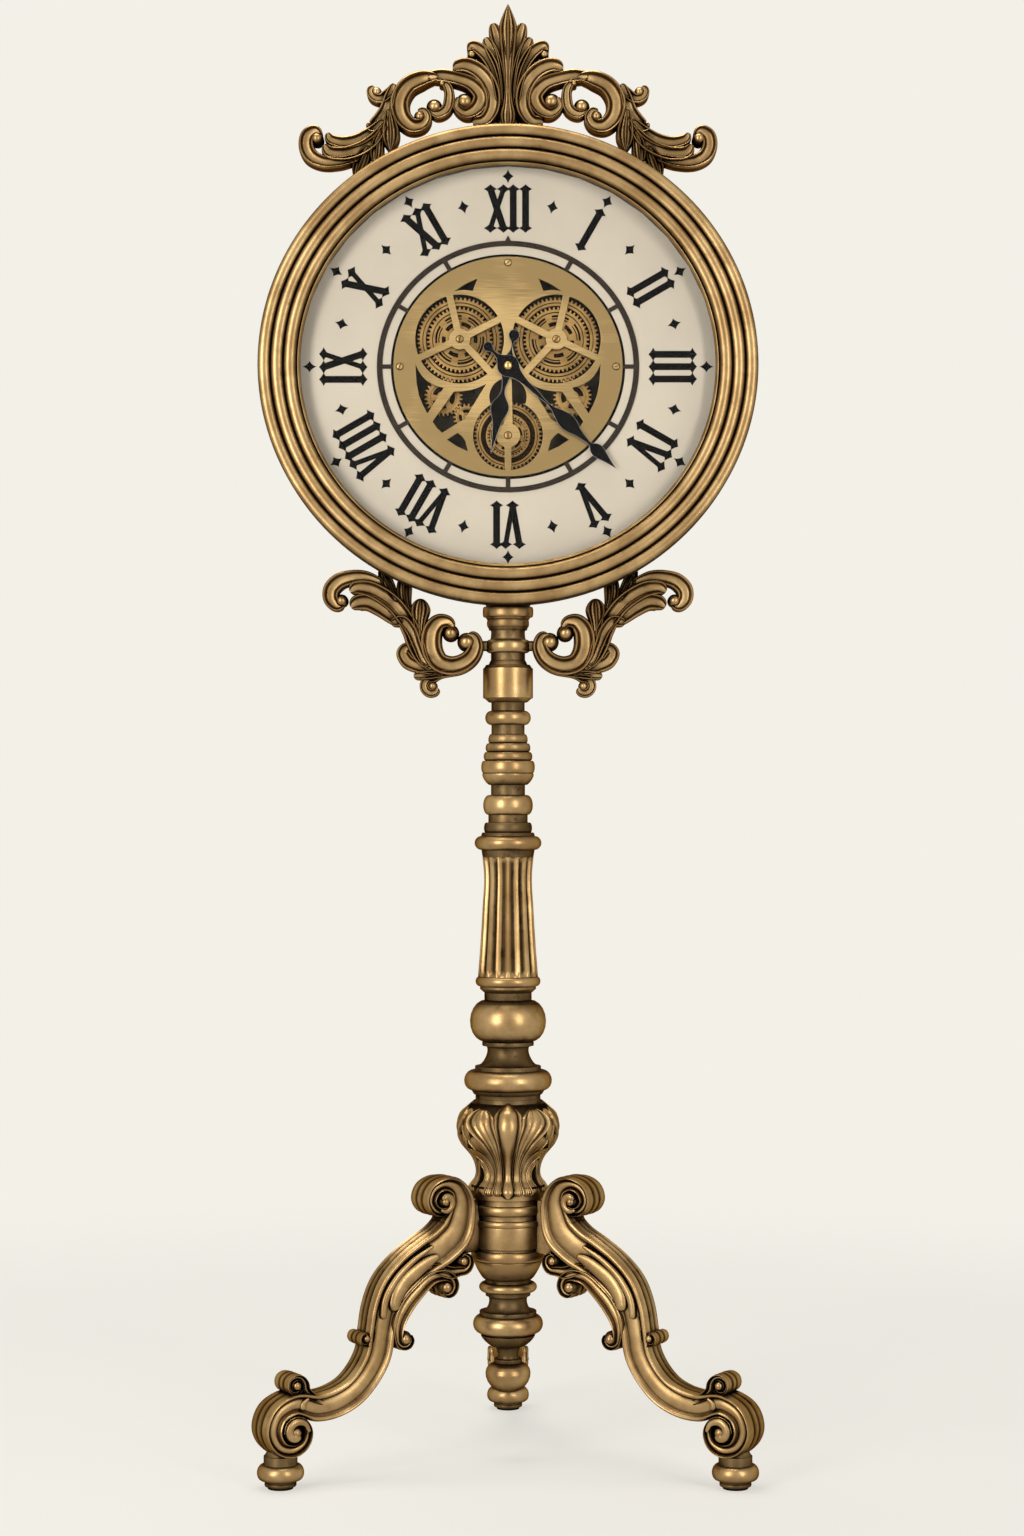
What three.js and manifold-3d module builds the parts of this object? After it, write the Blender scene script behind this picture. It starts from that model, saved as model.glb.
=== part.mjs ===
// Floor clock: a glazed dial with a moving gear display, a scrolled crest,
// and a turned column on three scroll legs.
// Millimetres, +Z up, the dial faces -Y. The origin is on the floor under the middle of the model's box.
import * as THREE from 'three';
import { mergeVertices } from 'three/addons/utils/BufferGeometryUtils.js';
import Module from 'manifold-3d';

const wasm = await Module();
wasm.setup();

// Clearances
const SEAT_GAP = 0.3;
const CUT_OVERSHOOT = 1;
const COPLANAR_TOLERANCE = 0.002;

// Facets of round pieces
const COLUMN_SIDES = 12;
const RIM_SIDES = 36;
const SMALL_SIDES = 10;
const CURVE_STEPS = 3;

// Turned pieces, from the bottom up: height, radius below, radius above, swell of the middle
const FOOT_MOULDINGS = [
  [7, 15, 18.5],
  [3, 20, 22],
  [18, 22, 21, 5.7],
  [9.7, 19, 19],
];
const PENDANT_MOULDINGS = [
  [35, 6, 15, 16],
  [5, 16.8, 16.8],
  [15, 14, 17, -3],
  [14, 19, 32, 3],
  [2, 30, 30],
  [21.6, 33, 33, 9],
  [5, 34.2, 34.2],
  [18, 30, 26, -5],
  [4.5, 27, 27],
  [12, 28, 28, 6.8],
  [4, 27.5, 27.5],
  [23, 29, 41, 2],
];
const HUB_RING_MOULDINGS = [
  [12, 39.5, 39.5, 2.5],
  [3.6, 38, 38],
];
const HUB_DRUM_RADIUS = 40;
const HUB_DRUM_HEIGHT = 26;
const HUB_TOP_MOULDINGS = [
  [7.5, 40, 40, 2],
  [6, 37.5, 37.5],
  [12, 38, 38, 3.5],
  [7, 38, 38],
];
const VASE_MOULDINGS = [
  [3, 44, 48.6],
  [9.6, 48.6, 48.6],
  [3, 48.6, 44],
  [8, 40, 34.5],
  [10, 34.5, 34.5, -1],
  [22, 34.5, 46, -2.5],
  [28, 46, 60.6, 3.5],
  [30, 60.6, 43, 5.5],
  [5, 39, 39],
];
const KNOP_MOULDINGS = [
  [4.5, 39, 39],
  [5, 41, 44],
  [24, 44, 42, 9.5],
  [5, 40.2, 40.2],
  [24, 37, 31, -6],
  [5, 33.2, 33.2],
  [50, 35, 31, 13.5],
  [9, 29.4, 29.4],
  [4, 29.4, 33.6],
];
const SHAFT_RING_MOULDINGS = [
  [3, 33.6, 33.6],
  [12, 34, 34, 5],
];
const POST_MOULDINGS = [
  [8, 30.6, 33],
  [17, 33, 33, 7.2],
  [4, 32.4, 31],
  [12, 29, 29],
  [9, 25.2, 25.2],
  [24, 25.5, 24, 5.2],
  [12, 21.6, 21.6],
  [14, 23, 31.5, 2],
  [15, 32, 32],
  [10.5, 29, 29],
  [10.5, 27.5, 27.5],
  [11, 24.8, 24.8],
  [11, 21.6, 21.6],
  [17, 22.5, 22.5, 5.1],
  [10, 21.6, 21.6],
  [5, 24, 29],
  [36, 30, 30],
  [4, 29, 27],
];
const NECK_RING_SWELL = 3.8;
const NECK_RING_RADIUS = 23;
const NECK_RING_HEIGHT = 17;
const NECK_LOWER_MOULDINGS = [
  [5, 23.4, 21],
  [9, 21, 21],
];
const NECK_UPPER_MOULDINGS = [
  [5, 22.5, 22.5],
  [12, 22.2, 22.2],
  [10, 25.2, 25.2],
  [6, 27, 31],
  [5, 31.8, 31.8],
];

// Fluted shaft
const FLUTE_COUNT = 12;
const FLUTE_SECTION = [[-0.2, 0], [0.2, 0], [0.36, 1], [0.64, 1]];
const FLUTE_DEPTH = 3.4;
const FLUTE_LENGTH = 143;
const SHAFT_FOOT_RADIUS = 36;
const SHAFT_WAIST_SHARE = 0.85;
const SHAFT_WAIST_RADIUS = 28.8;
const SHAFT_HEAD_RADIUS = 30.6;
const SHAFT_STEPS = 3;

// Tie rod, hub bore and leg bolts
const ROD_RADIUS = 6;
const ROD_PENDANT_DEPTH = 110;
const ROD_SADDLE_DEPTH = 30;
const HUB_BORE_RADIUS = 24;
const BOLT_RADIUS = 4;
const BOLT_HEAD_RADIUS = 7;
const BOLT_HEAD_HEIGHT = 5;
const BOLT_GRIP = 26;
const BOLT_SEAT_DEPTH = 1;

// Legs: outlines run in the leg's own plane from the column axis and the leg's base,
// outward in hundredths of the foot's reach and up in hundredths of the leg's rise
const LEG_ANGLES = { left: -150, right: -30, rear: 90 };
const LEG_BODY_THICKNESS = 36;
const LEG_VOLUTE_THICKNESS = 45;
const LEG_SCROLL_THICKNESS = 30;
const LEG_TENON_THICKNESS = 24;
const LEG_TENON_END = 24;
const LEG_RISE = 203;
const FOOT_REACH = 302;
const FOOT_STUD_RADIUS = 5;
const FOOT_STUD_LENGTH = 14;
const LEG_EDGE_EXTRA_POINTS = 4;
const LEG_OUTER_EDGE = [
  [32.8, 127.6], [33.4, 120.2], [37.7, 114.3], [46.7, 110.3], [55, 100.5], [59.9, 89.2], [61.9, 76.4],
  [63.2, 66],
  [64.2, 55.2], [67.2, 46.3], [73.2, 37.9], [79.1, 34], [85.4, 34], [92.7, 36.5], [100, 35.5], [106.6, 27.1],
];
const LEG_INNER_EDGE = [
  [91.4, 18.7], [82.1, 19.7], [72.5, 24.6], [62.6, 36.5], [56.6, 48.8], [54, 64], [52.3, 77.8], [45.7, 91.6],
  [37.1, 100.5], [29.8, 103.9], [23.2, 112.3], [20.2, 123.6], [20.5, 139.4],
];
const LEG_VOLUTES = [
  { at: [32.1, 139.9], radius: 7.9, thickness: LEG_VOLUTE_THICKNESS },
  { at: [28.5, 139.4], radius: 8.3, thickness: LEG_BODY_THICKNESS },
  { at: [99.3, 14.8], radius: 10.3, thickness: LEG_VOLUTE_THICKNESS },
  { at: [94.7, 40.4], radius: 4.1, thickness: LEG_BODY_THICKNESS },
  { at: [64.6, 62.1], radius: 3, thickness: LEG_BODY_THICKNESS },
  { at: [22.8, 102], radius: 3.6, thickness: LEG_SCROLL_THICKNESS },
  { at: [31.5, 89.2], radius: 4.6, thickness: LEG_SCROLL_THICKNESS },
  { at: [50.7, 60.6], radius: 3.8, thickness: LEG_SCROLL_THICKNESS },
];
const LEG_STRANDS = [
  { path: [[22.5, 98.5], [27.8, 97], [34.4, 100]], widths: [3.3, 3.6, 3.3] },
  {
    path: [[29.1, 93.1], [33.8, 95.1], [40.4, 91.6], [46.4, 81.3], [50.3, 70], [52.3, 60.1]],
    widths: [3.3, 4.6, 5, 5, 4.6, 3.3],
  },
];

// Head: radii are half heights, and the round pieces are a little wider than they are high
const HEAD_WIDTH_RATIO = 1.042;
const COLUMN_SETBACK = 24;
const BEZEL_RADIUS = 285;
const BEZEL_BACK = -8;
const REED_COUNT = 3;
const REED_WIDTH = 14.7;
const REED_RISE = 7;
const REED_BASE = 23;
const BEZEL_LIP_WIDTH = 4.7;
const BEZEL_LIP_THICKNESS = 2;
const BEZEL_RABBET = 7.8;
const BEZEL_CHANNEL_WALL = 7;
const BEZEL_CHANNEL_FLOOR = 9;
const GLASS_LEVEL = 15.2;
const GLASS_THICKNESS = 3;
const SPACER_WIDTH = 5;
const DIAL_THICKNESS = 3;
const CASE_WALL = 3.5;
const CASE_DEPTH = 60;
const CASE_FLANGE_THICKNESS = 3;
const CASE_FLANGE_MARGIN = 4;
const CASE_REAR_FLANGE = 12;
const COVER_THICKNESS = 2;

// Gear teeth, as shares of the pitch along the rim and of the module above the pitch circle
const FLAT_TOOTH = [[-0.27, -0.95], [-0.11, 0.75], [0.11, 0.75], [0.27, -0.95]];
const POINTED_TOOTH = [[-0.27, -0.95], [0, 0.75], [0.27, -0.95]];

// Gear display
const PLATE_RADIUS = 131;
const PLATE_THICKNESS = 2;
const PLATE_OVERLAP = 2.5;
const RING_RADIUS = 148.4;
const HOUR_ANGLE = 30;
const RING_WIDTH = 6.2;
const RING_SPOKE_WIDTH = 5.4;
const RING_THICKNESS = 0.8;
const RING_POINTER = 7;
const PLATE_SPACING = 22;
const PILLAR_RADIUS = 3.2;
const PLATE_SCREW_INSET = 7.2;
const PLATE_SCREW_RADIUS = 2;
const SCREW_HEAD_RADIUS = 4;
const SCREW_HEAD_HEIGHT = 1.4;
const SCREW_CROWN = 0.8;
const SLOT_WIDTH = 1;
const SLOT_DEPTH = 0.7;
const GEAR_MODULE = 3.3;
const GEAR_THICKNESS = 4;
const GEAR_LEVEL = -4.5;
const WHEEL_TEETH = 30;
const IDLER_TEETH = 13;
const PINION_TEETH = 9;
const LOWER_TEETH = 24;
const WHEEL_OFFSET = 57.6;
const WHEEL_RISE = 32.7;
const LOWER_DROP = 82;
const PINION_BEARING = 155.5;
const ARBOR_END = 1;
const ARBOR_RADIUS = 3;
const WINDOW_RADIUS = 53;
const LOWER_WINDOW_RADIUS = 41.6;
const LOOP_WINDOW_RADIUS = 22.3;
const LOOP_WINDOW_DROP = 36;
const SPIDER_HUB_RADIUS = 12.5;
const LOWER_HUB_RADIUS = 14.5;
const SPIDER_SPOKE_WIDTH = 8;
const LEFT_SPIDER_BEARINGS = [26.5, 103, 204.8, 313];
const LOWER_OPENING_BEARINGS = [124, 270];
const WINDOW_STEPS = 6;
const HUB_STEPS = 3;
const LEFT_PLATE_OPENINGS = [
  [[-63.6, 90], [-36.3, 104.7], [-42, 90]],
  [[-110.4, 3], [-102, -12], [-90, -21], [-76.6, -25.4], [-96, -56], [-106, -35]],
  [[-64.5, -30], [-44, -28], [-26, -21], [-51, -62], [-78.5, -79], [-90, -65.5]],
  [[-72.7, -87.3], [-60, -79.2], [-51, -88], [-47.6, -101]],
];
const MOTOR_CHAMFER = 4;
const MOTOR_RADIUS = 17;
const MOTOR_LENGTH = 20;
const MOTOR_SHAFT_DEPTH = 8;

// Motion work of the hands
const MOVEMENT_WIDTH = 56;
const MOVEMENT_DEPTH = 18;
const MOVEMENT_WALL = 2;
const MOTION_MODULE = 0.75;
const CANNON_TEETH = 8;
const MINUTE_WHEEL_TEETH = 24;
const MINUTE_PINION_TEETH = 8;
const HOUR_WHEEL_TEETH = 32;
const SET_GEAR_TEETH = 8;
const MOTION_GEAR_THICKNESS = 2;
const HOUR_WHEEL_LEVEL = -28.6;
const MINUTE_WHEEL_LEVEL = -33.5;
const MINUTE_WHEEL_BEARING = -60;
const SET_GEAR_BEARING = -150;
const MINUTE_ARBOR_RADIUS = 2.2;
const HOUR_TUBE_WALL = 1.5;
const SMALL_ARBOR_RADIUS = 1.3;
const SET_KNOB_RADIUS = 7;
const SET_KNOB_HEIGHT = 8;
const CELL_NUB_RADIUS = 2.6;
const CELL_NUB_HEIGHT = 1;
const CELL_ROOM = 2;
const CELL_RADIUS = 7;
const CELL_LENGTH = 48;
const MOVEMENT_CELL_RISE = 18.5;

// Hands: lengths from the hub's centre, and the hour they show
const HAND_THICKNESS = 1.2;
const HOUR_HAND_LEVEL = 5;
const MINUTE_HAND_LEVEL = 8;
const SHOWN_HOUR = 6.371;
const HOUR_HAND = { length: 103, tail: 38, ball: 6, hub: 12, stem: 5, leaf: 21, leafAt: 52, leafEnd: 72 };
const HAND_NECK_SHARE = 1.6;
const HAND_LEAF_START = 0.72;
const HAND_LEAF_TAPER = 0.24;
const MINUTE_HAND = {
  length: 177,
  tail: 34,
  ball: 5.4,
  hub: 13,
  stem: 5,
  leaf: 19,
  leafAt: 99,
  leafEnd: 122,
};
const MINUTE_TIP_DIAMOND = { width: 15, start: 136, at: 150, end: 163, neck: 3.5, tip: 2.5 };
const HAND_NUT_RADIUS = 5.6;
const HAND_NUT_SHOULDER = 0.4;
const HAND_NUT_CROWN = 0.7;
const HAND_NUT_CAP = 2;
const HAND_NUT_HEIGHT = 4.6;

// Battery holder and its switch
const HOLDER_WIDTH = 64;
const HOLDER_HEIGHT = 26;
const HOLDER_DEPTH = 17;
const HOLDER_WALL = 2;
const HOLDER_DROP = 48;
const HOLDER_BLOCK = 9;
const SWITCH_WIDTH = 4;
const SWITCH_LENGTH = 5;
const SWITCH_TRAVEL = 4;
const SWITCH_STEP = 1;
const SWITCH_RISE = 2.5;
const SWITCH_SLOT_DEPTH = 2;

// Battery door on the back cover
const DOOR_WIDTH = 120;
const DOOR_TOP = 43;
const DOOR_BOTTOM = -77;
const DOOR_OVERLAP = 5;
const DOOR_THICKNESS = 2;
const DOOR_LIP_WIDTH = 24;
const DOOR_LIP_RISE = 5;
const DOOR_KNUCKLE_RADIUS = 3;
const DOOR_KNUCKLE_LENGTH = 40;
const DOOR_PIN_RADIUS = 1.4;
const COVER_SCREW_BEARINGS = { left: 180, right: 0 };
const COVER_SCREW_RADIUS = 2;

// Saddle
const SADDLE_FOOT_WIDTH = 52;
const SADDLE_HEAD_WIDTH = 92;
const SADDLE_RISE_SHARE = 1.4;
const SADDLE_THICKNESS = 34;
const SADDLE_SCREW_SPREAD = 20;
const SADDLE_SCREW_RADIUS = 3;
const SADDLE_SCREW_HEAD_RADIUS = 5;
const SADDLE_SCREW_LENGTH = 18;

// Cast ornament: strokes of the left half, from the middle of the bezel's top edge or of the neck's ring,
// in hundredths of the bezel's radius
const ORNAMENT_BACK = -30;
const ORNAMENT_FRONT = -6;
const ORNAMENT_RELIEF = 5;
const CREST_FOOT_WIDTH = 10.5;
const CREST_FOOT_DEPTH = 8.4;
const CREST_CENTRE = {
  path: [[0, -1.4], [0, 5.3], [0, 12.3], [0, 28.1], [0, 44.9], [0, 51.9]],
  widths: [2.1, 6.7, 4.2, 4.9, 8.4, 0.4],
};
const CREST_STROKES = [
  { path: [[-1.1, 10.5], [-2.1, 28.1], [-5.6, 41.8]], widths: [2.8, 3.9, 6.3] },
  { path: [[-1.8, 10.5], [-4.2, 26.7], [-8.2, 36.5]], widths: [2.8, 3.9, 5.6] },
  { path: [[-2.8, 9.1], [-6, 24.6], [-10.9, 31.9], [-14.9, 32.3]], widths: [2.8, 4.2, 5.3, 6.7] },
  { path: [[-3.5, 7], [-6, 18.2], [-11.9, 24.9], [-20.5, 25.8]], widths: [3.5, 4.9, 6, 6.3] },
  { path: [[-2.1, 9.1], [-6, 4.6], [-11.2, 3.5]], widths: [4.2, 4.9, 4.9] },
  {
    path: [[-27.7, 22.1], [-20, 21.8], [-13.3, 17.2], [-11.2, 11.2], [-14.7, 7.4]],
    widths: [4.2, 4.6, 4.9, 4.9, 4.2],
  },
  {
    path: [[-28.1, 20.7], [-24.6, 15.1], [-24.6, 9.5], [-27.4, 6], [-30.2, 6.3]],
    widths: [1.8, 2.5, 2.8, 2.8, 2.8],
  },
  {
    path: [
      [-27, 21.8], [-34.4, 21.1], [-41.4, 17.9], [-45.6, 11.9], [-44.9, 5.3], [-40.7, 0.7],
      [-37.2, 1.1],
    ],
    widths: [4.2, 5.3, 6.3, 6.3, 6, 5.3, 3.5],
  },
  {
    path: [
      [-45.6, 18.2], [-50.2, 12.6], [-51.6, 5.6], [-55.1, -1.4], [-62.5, -8.1], [-70.2, -8.4],
      [-75.1, -4.9],
    ],
    widths: [2.1, 3.9, 4.2, 4.6, 4.2, 3.9, 3.2],
  },
  { path: [[-54, -2.8], [-63.9, -11.9], [-71.6, -13], [-75.4, -10.5]], widths: [2.1, 4.2, 4.6, 3.9] },
  { path: [[-51.2, 7.7], [-53.7, 2.1], [-58.2, 0.4]], widths: [2.1, 3.9, 1.4] },
  { path: [[-47, 18.2], [-52.3, 14.4], [-55.4, 14.4]], widths: [2.5, 3.2, 3.5] },
  { path: [[-50.2, 7.7], [-49.8, -1.4], [-49.5, -8.8]], widths: [2.1, 6.3, 0.4] },
  { path: [[-53.3, -1.4], [-55.1, -8.4], [-55.8, -16.1]], widths: [1.8, 4.9, 2.1] },
  { path: [[-57.5, -6.3], [-61.1, -14], [-63.2, -22.5]], widths: [2.1, 4.9, 4.2] },
  {
    path: [[-63.2, -14], [-74.7, -17.2], [-83.2, -15.1], [-86.3, -9.5], [-83.5, -4.9]],
    widths: [3.2, 4.2, 4.2, 4.6, 4.2],
  },
];
const CREST_BOSSES = [
  { at: [-17.5, 10.9], radius: 4.9 },
  { at: [-30.7, 8.9], radius: 3.3 },
  { at: [-37, 4.7], radius: 3.9 },
  { at: [-55.6, 14.4], radius: 3.2 },
  { at: [-79.6, -6.3], radius: 3.2 },
];
const BRACKET_STROKES = [
  {
    path: [[-52.6, 26.7], [-64.2, 28.8], [-72.6, 25.6], [-75.4, 21.4], [-73, 17.9]],
    widths: [3.5, 4.6, 4.6, 4.6, 4.2],
  },
  {
    path: [[-65.6, 25.6], [-57.2, 24.9], [-49.5, 21.1], [-42.1, 13], [-38.2, 6], [-36.1, -1.1], [-31.9, -7]],
    widths: [4.2, 4.9, 4.9, 4.6, 4.6, 4.2, 3.5],
  },
  { path: [[-64.2, 18.9], [-57.2, 20.4], [-51.2, 17.9], [-45.6, 12.6]], widths: [2.8, 3.9, 3.5, 2.1] },
  { path: [[-47.7, 11.6], [-42.5, 9.5], [-39.3, 2.5], [-37.2, -4.2]], widths: [1.4, 3.5, 3.5, 2.1] },
  {
    path: [
      [-23.5, 9.8], [-28.1, 10.2], [-32.3, 6.7], [-32.6, 0.4], [-29.1, -5.3], [-22.5, -7.7],
      [-15.8, -5.6], [-12.6, -0.7], [-14.4, 3.9],
    ],
    widths: [4.2, 5.3, 6.3, 6.7, 6.3, 5.6, 5.6, 5.3, 4.2],
  },
  { path: [[-36.8, 4.2], [-36.8, 12.6], [-36.8, 18.2]], widths: [2.8, 7.7, 3.5] },
  { path: [[-41.4, 11.9], [-42.8, 20.4], [-42.8, 32.3]], widths: [2.1, 6, 4.2] },
  { path: [[-47.7, 18.9], [-50.9, 26.3], [-53.3, 35.1]], widths: [2.1, 5.3, 3.5] },
  {
    path: [[-39.3, -0.7], [-43.9, -1.1], [-44.6, -4.9], [-38.6, -8.8], [-29.5, -10.2]],
    widths: [2.8, 3.2, 3.2, 3.2, 2.8],
  },
  { path: [[-37.5, -12.6], [-29.5, -11.6], [-21.1, -11.2], [-13.3, -6]], widths: [3.5, 3.2, 3.2, 2.8] },
  { path: [[-14, 0], [-7, 0]], widths: [4.9, 4.9] },
];
const BRACKET_BOSSES = [
  { at: [-69.5, 18.9], radius: 3.9 },
  { at: [-24.2, 6.3], radius: 3.9 },
  { at: [-17.2, 3.2], radius: 3.5 },
  { at: [-31.2, -16.1], radius: 4 },
];
const STROKE_SAMPLES = 2;
const STROKE_START_ROUNDING = 0.8;
const STROKE_END_ROUNDING = 0.9;
const BOSS_SHOULDER = 0.5;
const BOSS_CROWN = 0.6;

// Finishes
const ANTIQUE_BRASS = { color: 0x9c7b4b, roughness: 0.42, metalness: 0.9 };
const BRUSHED_BRASS = { color: 0xb5945c, roughness: 0.38, metalness: 0.9 };
const DARK_BRONZE = { color: 0x42352a, roughness: 0.5, metalness: 0.6 };
const BLACK_ENAMEL = { color: 0x17181a, roughness: 0.4, metalness: 0.1 };
const CREAM_ENAMEL = { color: 0xd8cdbc, roughness: 0.6, metalness: 0 };
const CLEAR_GLASS = { color: 0xf4f7f6, roughness: 0.03, metalness: 0, transparent: true, opacity: 0.2 };
const BLACK_PLASTIC = { color: 0x1c1c1e, roughness: 0.55, metalness: 0 };
const ZINC_STEEL = { color: 0x9a9c9f, roughness: 0.4, metalness: 0.9 };

// Solids: closed meshes joined and cut as bodies
function solidOf(geometry) {
  const bare = geometry.clone();
  bare.deleteAttribute('normal');
  bare.deleteAttribute('uv');
  const merged = mergeVertices(bare, 1e-4);
  const index = merged.index.array;
  const triVerts = [];
  for (let i = 0; i < index.length; i += 3) {
    const [a, b, c] = [index[i], index[i + 1], index[i + 2]];
    if (a !== b && b !== c && c !== a) {
      triVerts.push(a, b, c);
    }
  }
  return new wasm.Manifold(new wasm.Mesh({
    numProp: 3,
    vertProperties: new Float32Array(merged.attributes.position.array),
    triVerts: new Uint32Array(triVerts),
  }));
}

function geometryOf(solid) {
  const mesh = solid.asOriginal().simplify(COPLANAR_TOLERANCE).getMesh();
  const geometry = new THREE.BufferGeometry();
  geometry.setAttribute('position', new THREE.BufferAttribute(new Float32Array(mesh.vertProperties), 3));
  geometry.setIndex(new THREE.BufferAttribute(new Uint32Array(mesh.triVerts), 1));
  geometry.computeVertexNormals();
  return geometry;
}

function joined(...geometries) {
  return geometryOf(geometries.map(solidOf).reduce((all, solid) => all.add(solid)));
}

function cut(geometry, ...tools) {
  return geometryOf(tools.map(solidOf).reduce((rest, tool) => rest.subtract(tool), solidOf(geometry)));
}

// Shapes
function turned(outline, sides) {
  const points = outline.map(([radius, height]) => new THREE.Vector2(radius, height));
  if (THREE.ShapeUtils.area(points) < 0) {
    points.reverse();
  }
  points.push(points[0].clone());
  const geometry = new THREE.LatheGeometry(points, sides).rotateX(Math.PI / 2);
  return geometryOf(solidOf(geometry));
}

function rod(radius, low, high, sides = SMALL_SIDES) {
  return turned([[0, low], [radius, low], [radius, high], [0, high]], sides);
}

function tube(inner, outer, low, high, sides = SMALL_SIDES) {
  return turned([[inner, low], [outer, low], [outer, high], [inner, high]], sides);
}

function block(width, height, depth) {
  return new THREE.BoxGeometry(width, height, depth);
}

function prism(shape, low, high) {
  return new THREE.ExtrudeGeometry(shape, { depth: high - low, bevelEnabled: false }).translate(0, 0, low);
}

function polygon(points) {
  return new THREE.Shape(points.map(([x, y]) => new THREE.Vector2(x, y)));
}

function pierced(outline, holes) {
  const shape = polygon(outline);
  shape.holes = holes.map(polygon);
  return shape;
}

function widened(geometry) {
  return geometry.scale(HEAD_WIDTH_RATIO, 1, 1);
}

function mirrored(geometry) {
  const copy = geometry.clone().scale(-1, 1, 1);
  copy.index.array.reverse();
  return copy;
}

function degrees(angle) {
  return angle * Math.PI / 180;
}

function bearing(angle, distance) {
  return [distance * Math.cos(degrees(angle)), distance * Math.sin(degrees(angle))];
}

function heightOf(mouldings) {
  return mouldings.reduce((sum, [height]) => sum + height, 0);
}

function mouldedOutline(mouldings, base) {
  const outline = [];
  let level = base;
  for (const [height, below, above, swell = 0] of mouldings) {
    const steps = swell === 0 ? 1 : CURVE_STEPS;
    for (let step = 0; step <= steps; step += 1) {
      const turn = Math.PI * step / steps;
      const share = (1 - Math.cos(turn)) / 2;
      outline.push([below + (above - below) * share + swell * Math.sin(turn), level + height * share]);
    }
    level += height;
  }
  return outline;
}

function turnedPiece(mouldings, base, bore, sides = COLUMN_SIDES) {
  const top = base + heightOf(mouldings);
  return turned([[bore, base], ...mouldedOutline(mouldings, base), [bore, top]], sides);
}

// A stroke is a spline with a width at each of its points and round ends
function strokeShape({ path, widths }) {
  const curve = new THREE.SplineCurve(path.map(([x, y]) => new THREE.Vector2(x, y)));
  const count = STROKE_SAMPLES * (path.length - 1);
  const left = [];
  const right = [];
  for (let i = 0; i <= count; i += 1) {
    const share = i / count;
    const centre = curve.getPoint(share);
    const along = curve.getTangent(share);
    const place = share * (widths.length - 1);
    const lower = Math.min(Math.floor(place), widths.length - 2);
    const half = THREE.MathUtils.lerp(widths[lower], widths[lower + 1], place - lower) / 2;
    left.push(new THREE.Vector2(centre.x - along.y * half, centre.y + along.x * half));
    right.push(new THREE.Vector2(centre.x + along.y * half, centre.y - along.x * half));
    if (i === 0) {
      left.unshift(centre.clone().addScaledVector(along, -half * STROKE_START_ROUNDING));
    }
    if (i === count) {
      left.push(centre.clone().addScaledVector(along, half * STROKE_END_ROUNDING));
    }
  }
  return new THREE.Shape([...left, ...right.reverse()]);
}

function scaledPoint([x, y], across, up) {
  return [x * across / 100, y * up / 100];
}

function scaledStroke({ path, widths }, across, up) {
  return strokeShape({
    path: path.map((point) => scaledPoint(point, across, up)),
    widths: widths.map((width) => width * across / 100),
  });
}

function boss(radius, back, front) {
  return turned([
    [0, back],
    [radius, back],
    [radius, front - radius * BOSS_SHOULDER],
    [radius * BOSS_CROWN, front],
    [0, front],
  ], SMALL_SIDES);
}

// Gears: straight-sided teeth, short enough to run free
function gearRadius(teeth, gearModule = GEAR_MODULE) {
  return teeth * gearModule / 2;
}

function gearShape(teeth, gearModule, phase, tooth) {
  const points = [];
  for (let count = 0; count < teeth; count += 1) {
    for (const [share, rise] of tooth) {
      const angle = phase + 2 * Math.PI * (count + share) / teeth;
      const radius = gearRadius(teeth, gearModule) + rise * gearModule;
      points.push([radius * Math.cos(angle), radius * Math.sin(angle)]);
    }
  }
  return polygon(points);
}

function meshedPhase(teeth, phase, nextTeeth, direction) {
  return direction + Math.PI - (teeth / nextTeeth) * (phase - direction) - Math.PI / nextTeeth;
}

function directionTo(from, to) {
  return Math.atan2(to[1] - from[1], to[0] - from[0]);
}

function meetingPoint(first, firstReach, second, secondReach) {
  const span = Math.hypot(second[0] - first[0], second[1] - first[1]);
  const along = (firstReach ** 2 - secondReach ** 2 + span ** 2) / (2 * span);
  const aside = Math.sqrt(firstReach ** 2 - along ** 2);
  const [ux, uy] = [(second[0] - first[0]) / span, (second[1] - first[1]) / span];
  return [first[0] + ux * along + uy * aside, first[1] + uy * along - ux * aside];
}

// A slotted screw along Z: its head starts at the seat and points to +Z
function screw(radius, length, headRadius, headHeight) {
  const body = turned([
    [0, -length],
    [radius, -length],
    [radius, 0],
    [headRadius, 0],
    [headRadius * SCREW_CROWN, headHeight],
    [0, headHeight],
  ], SMALL_SIDES);
  const slot = block(3 * headRadius, SLOT_WIDTH, 2 * SLOT_DEPTH).translate(0, 0, headHeight);
  return cut(body, slot);
}

// Assembly
const clock = new THREE.Group();

function addPiece(parent, name, geometry, finish, position = [0, 0, 0]) {
  const mesh = new THREE.Mesh(geometry, new THREE.MeshStandardMaterial(finish));
  mesh.name = name;
  mesh.position.set(...position);
  parent.add(mesh);
  return mesh;
}

// Levels of the stand
const footHeight = heightOf(FOOT_MOULDINGS);
const legBase = footHeight + SEAT_GAP;
const hubBase = legBase + LEG_RISE;
const drumBase = hubBase + heightOf(HUB_RING_MOULDINGS);
const hubTop = drumBase + HUB_DRUM_HEIGHT + heightOf(HUB_TOP_MOULDINGS);
const pendantTop = hubBase - SEAT_GAP;
const pendantBase = pendantTop - heightOf(PENDANT_MOULDINGS);
const rodBore = ROD_RADIUS + SEAT_GAP;

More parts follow.
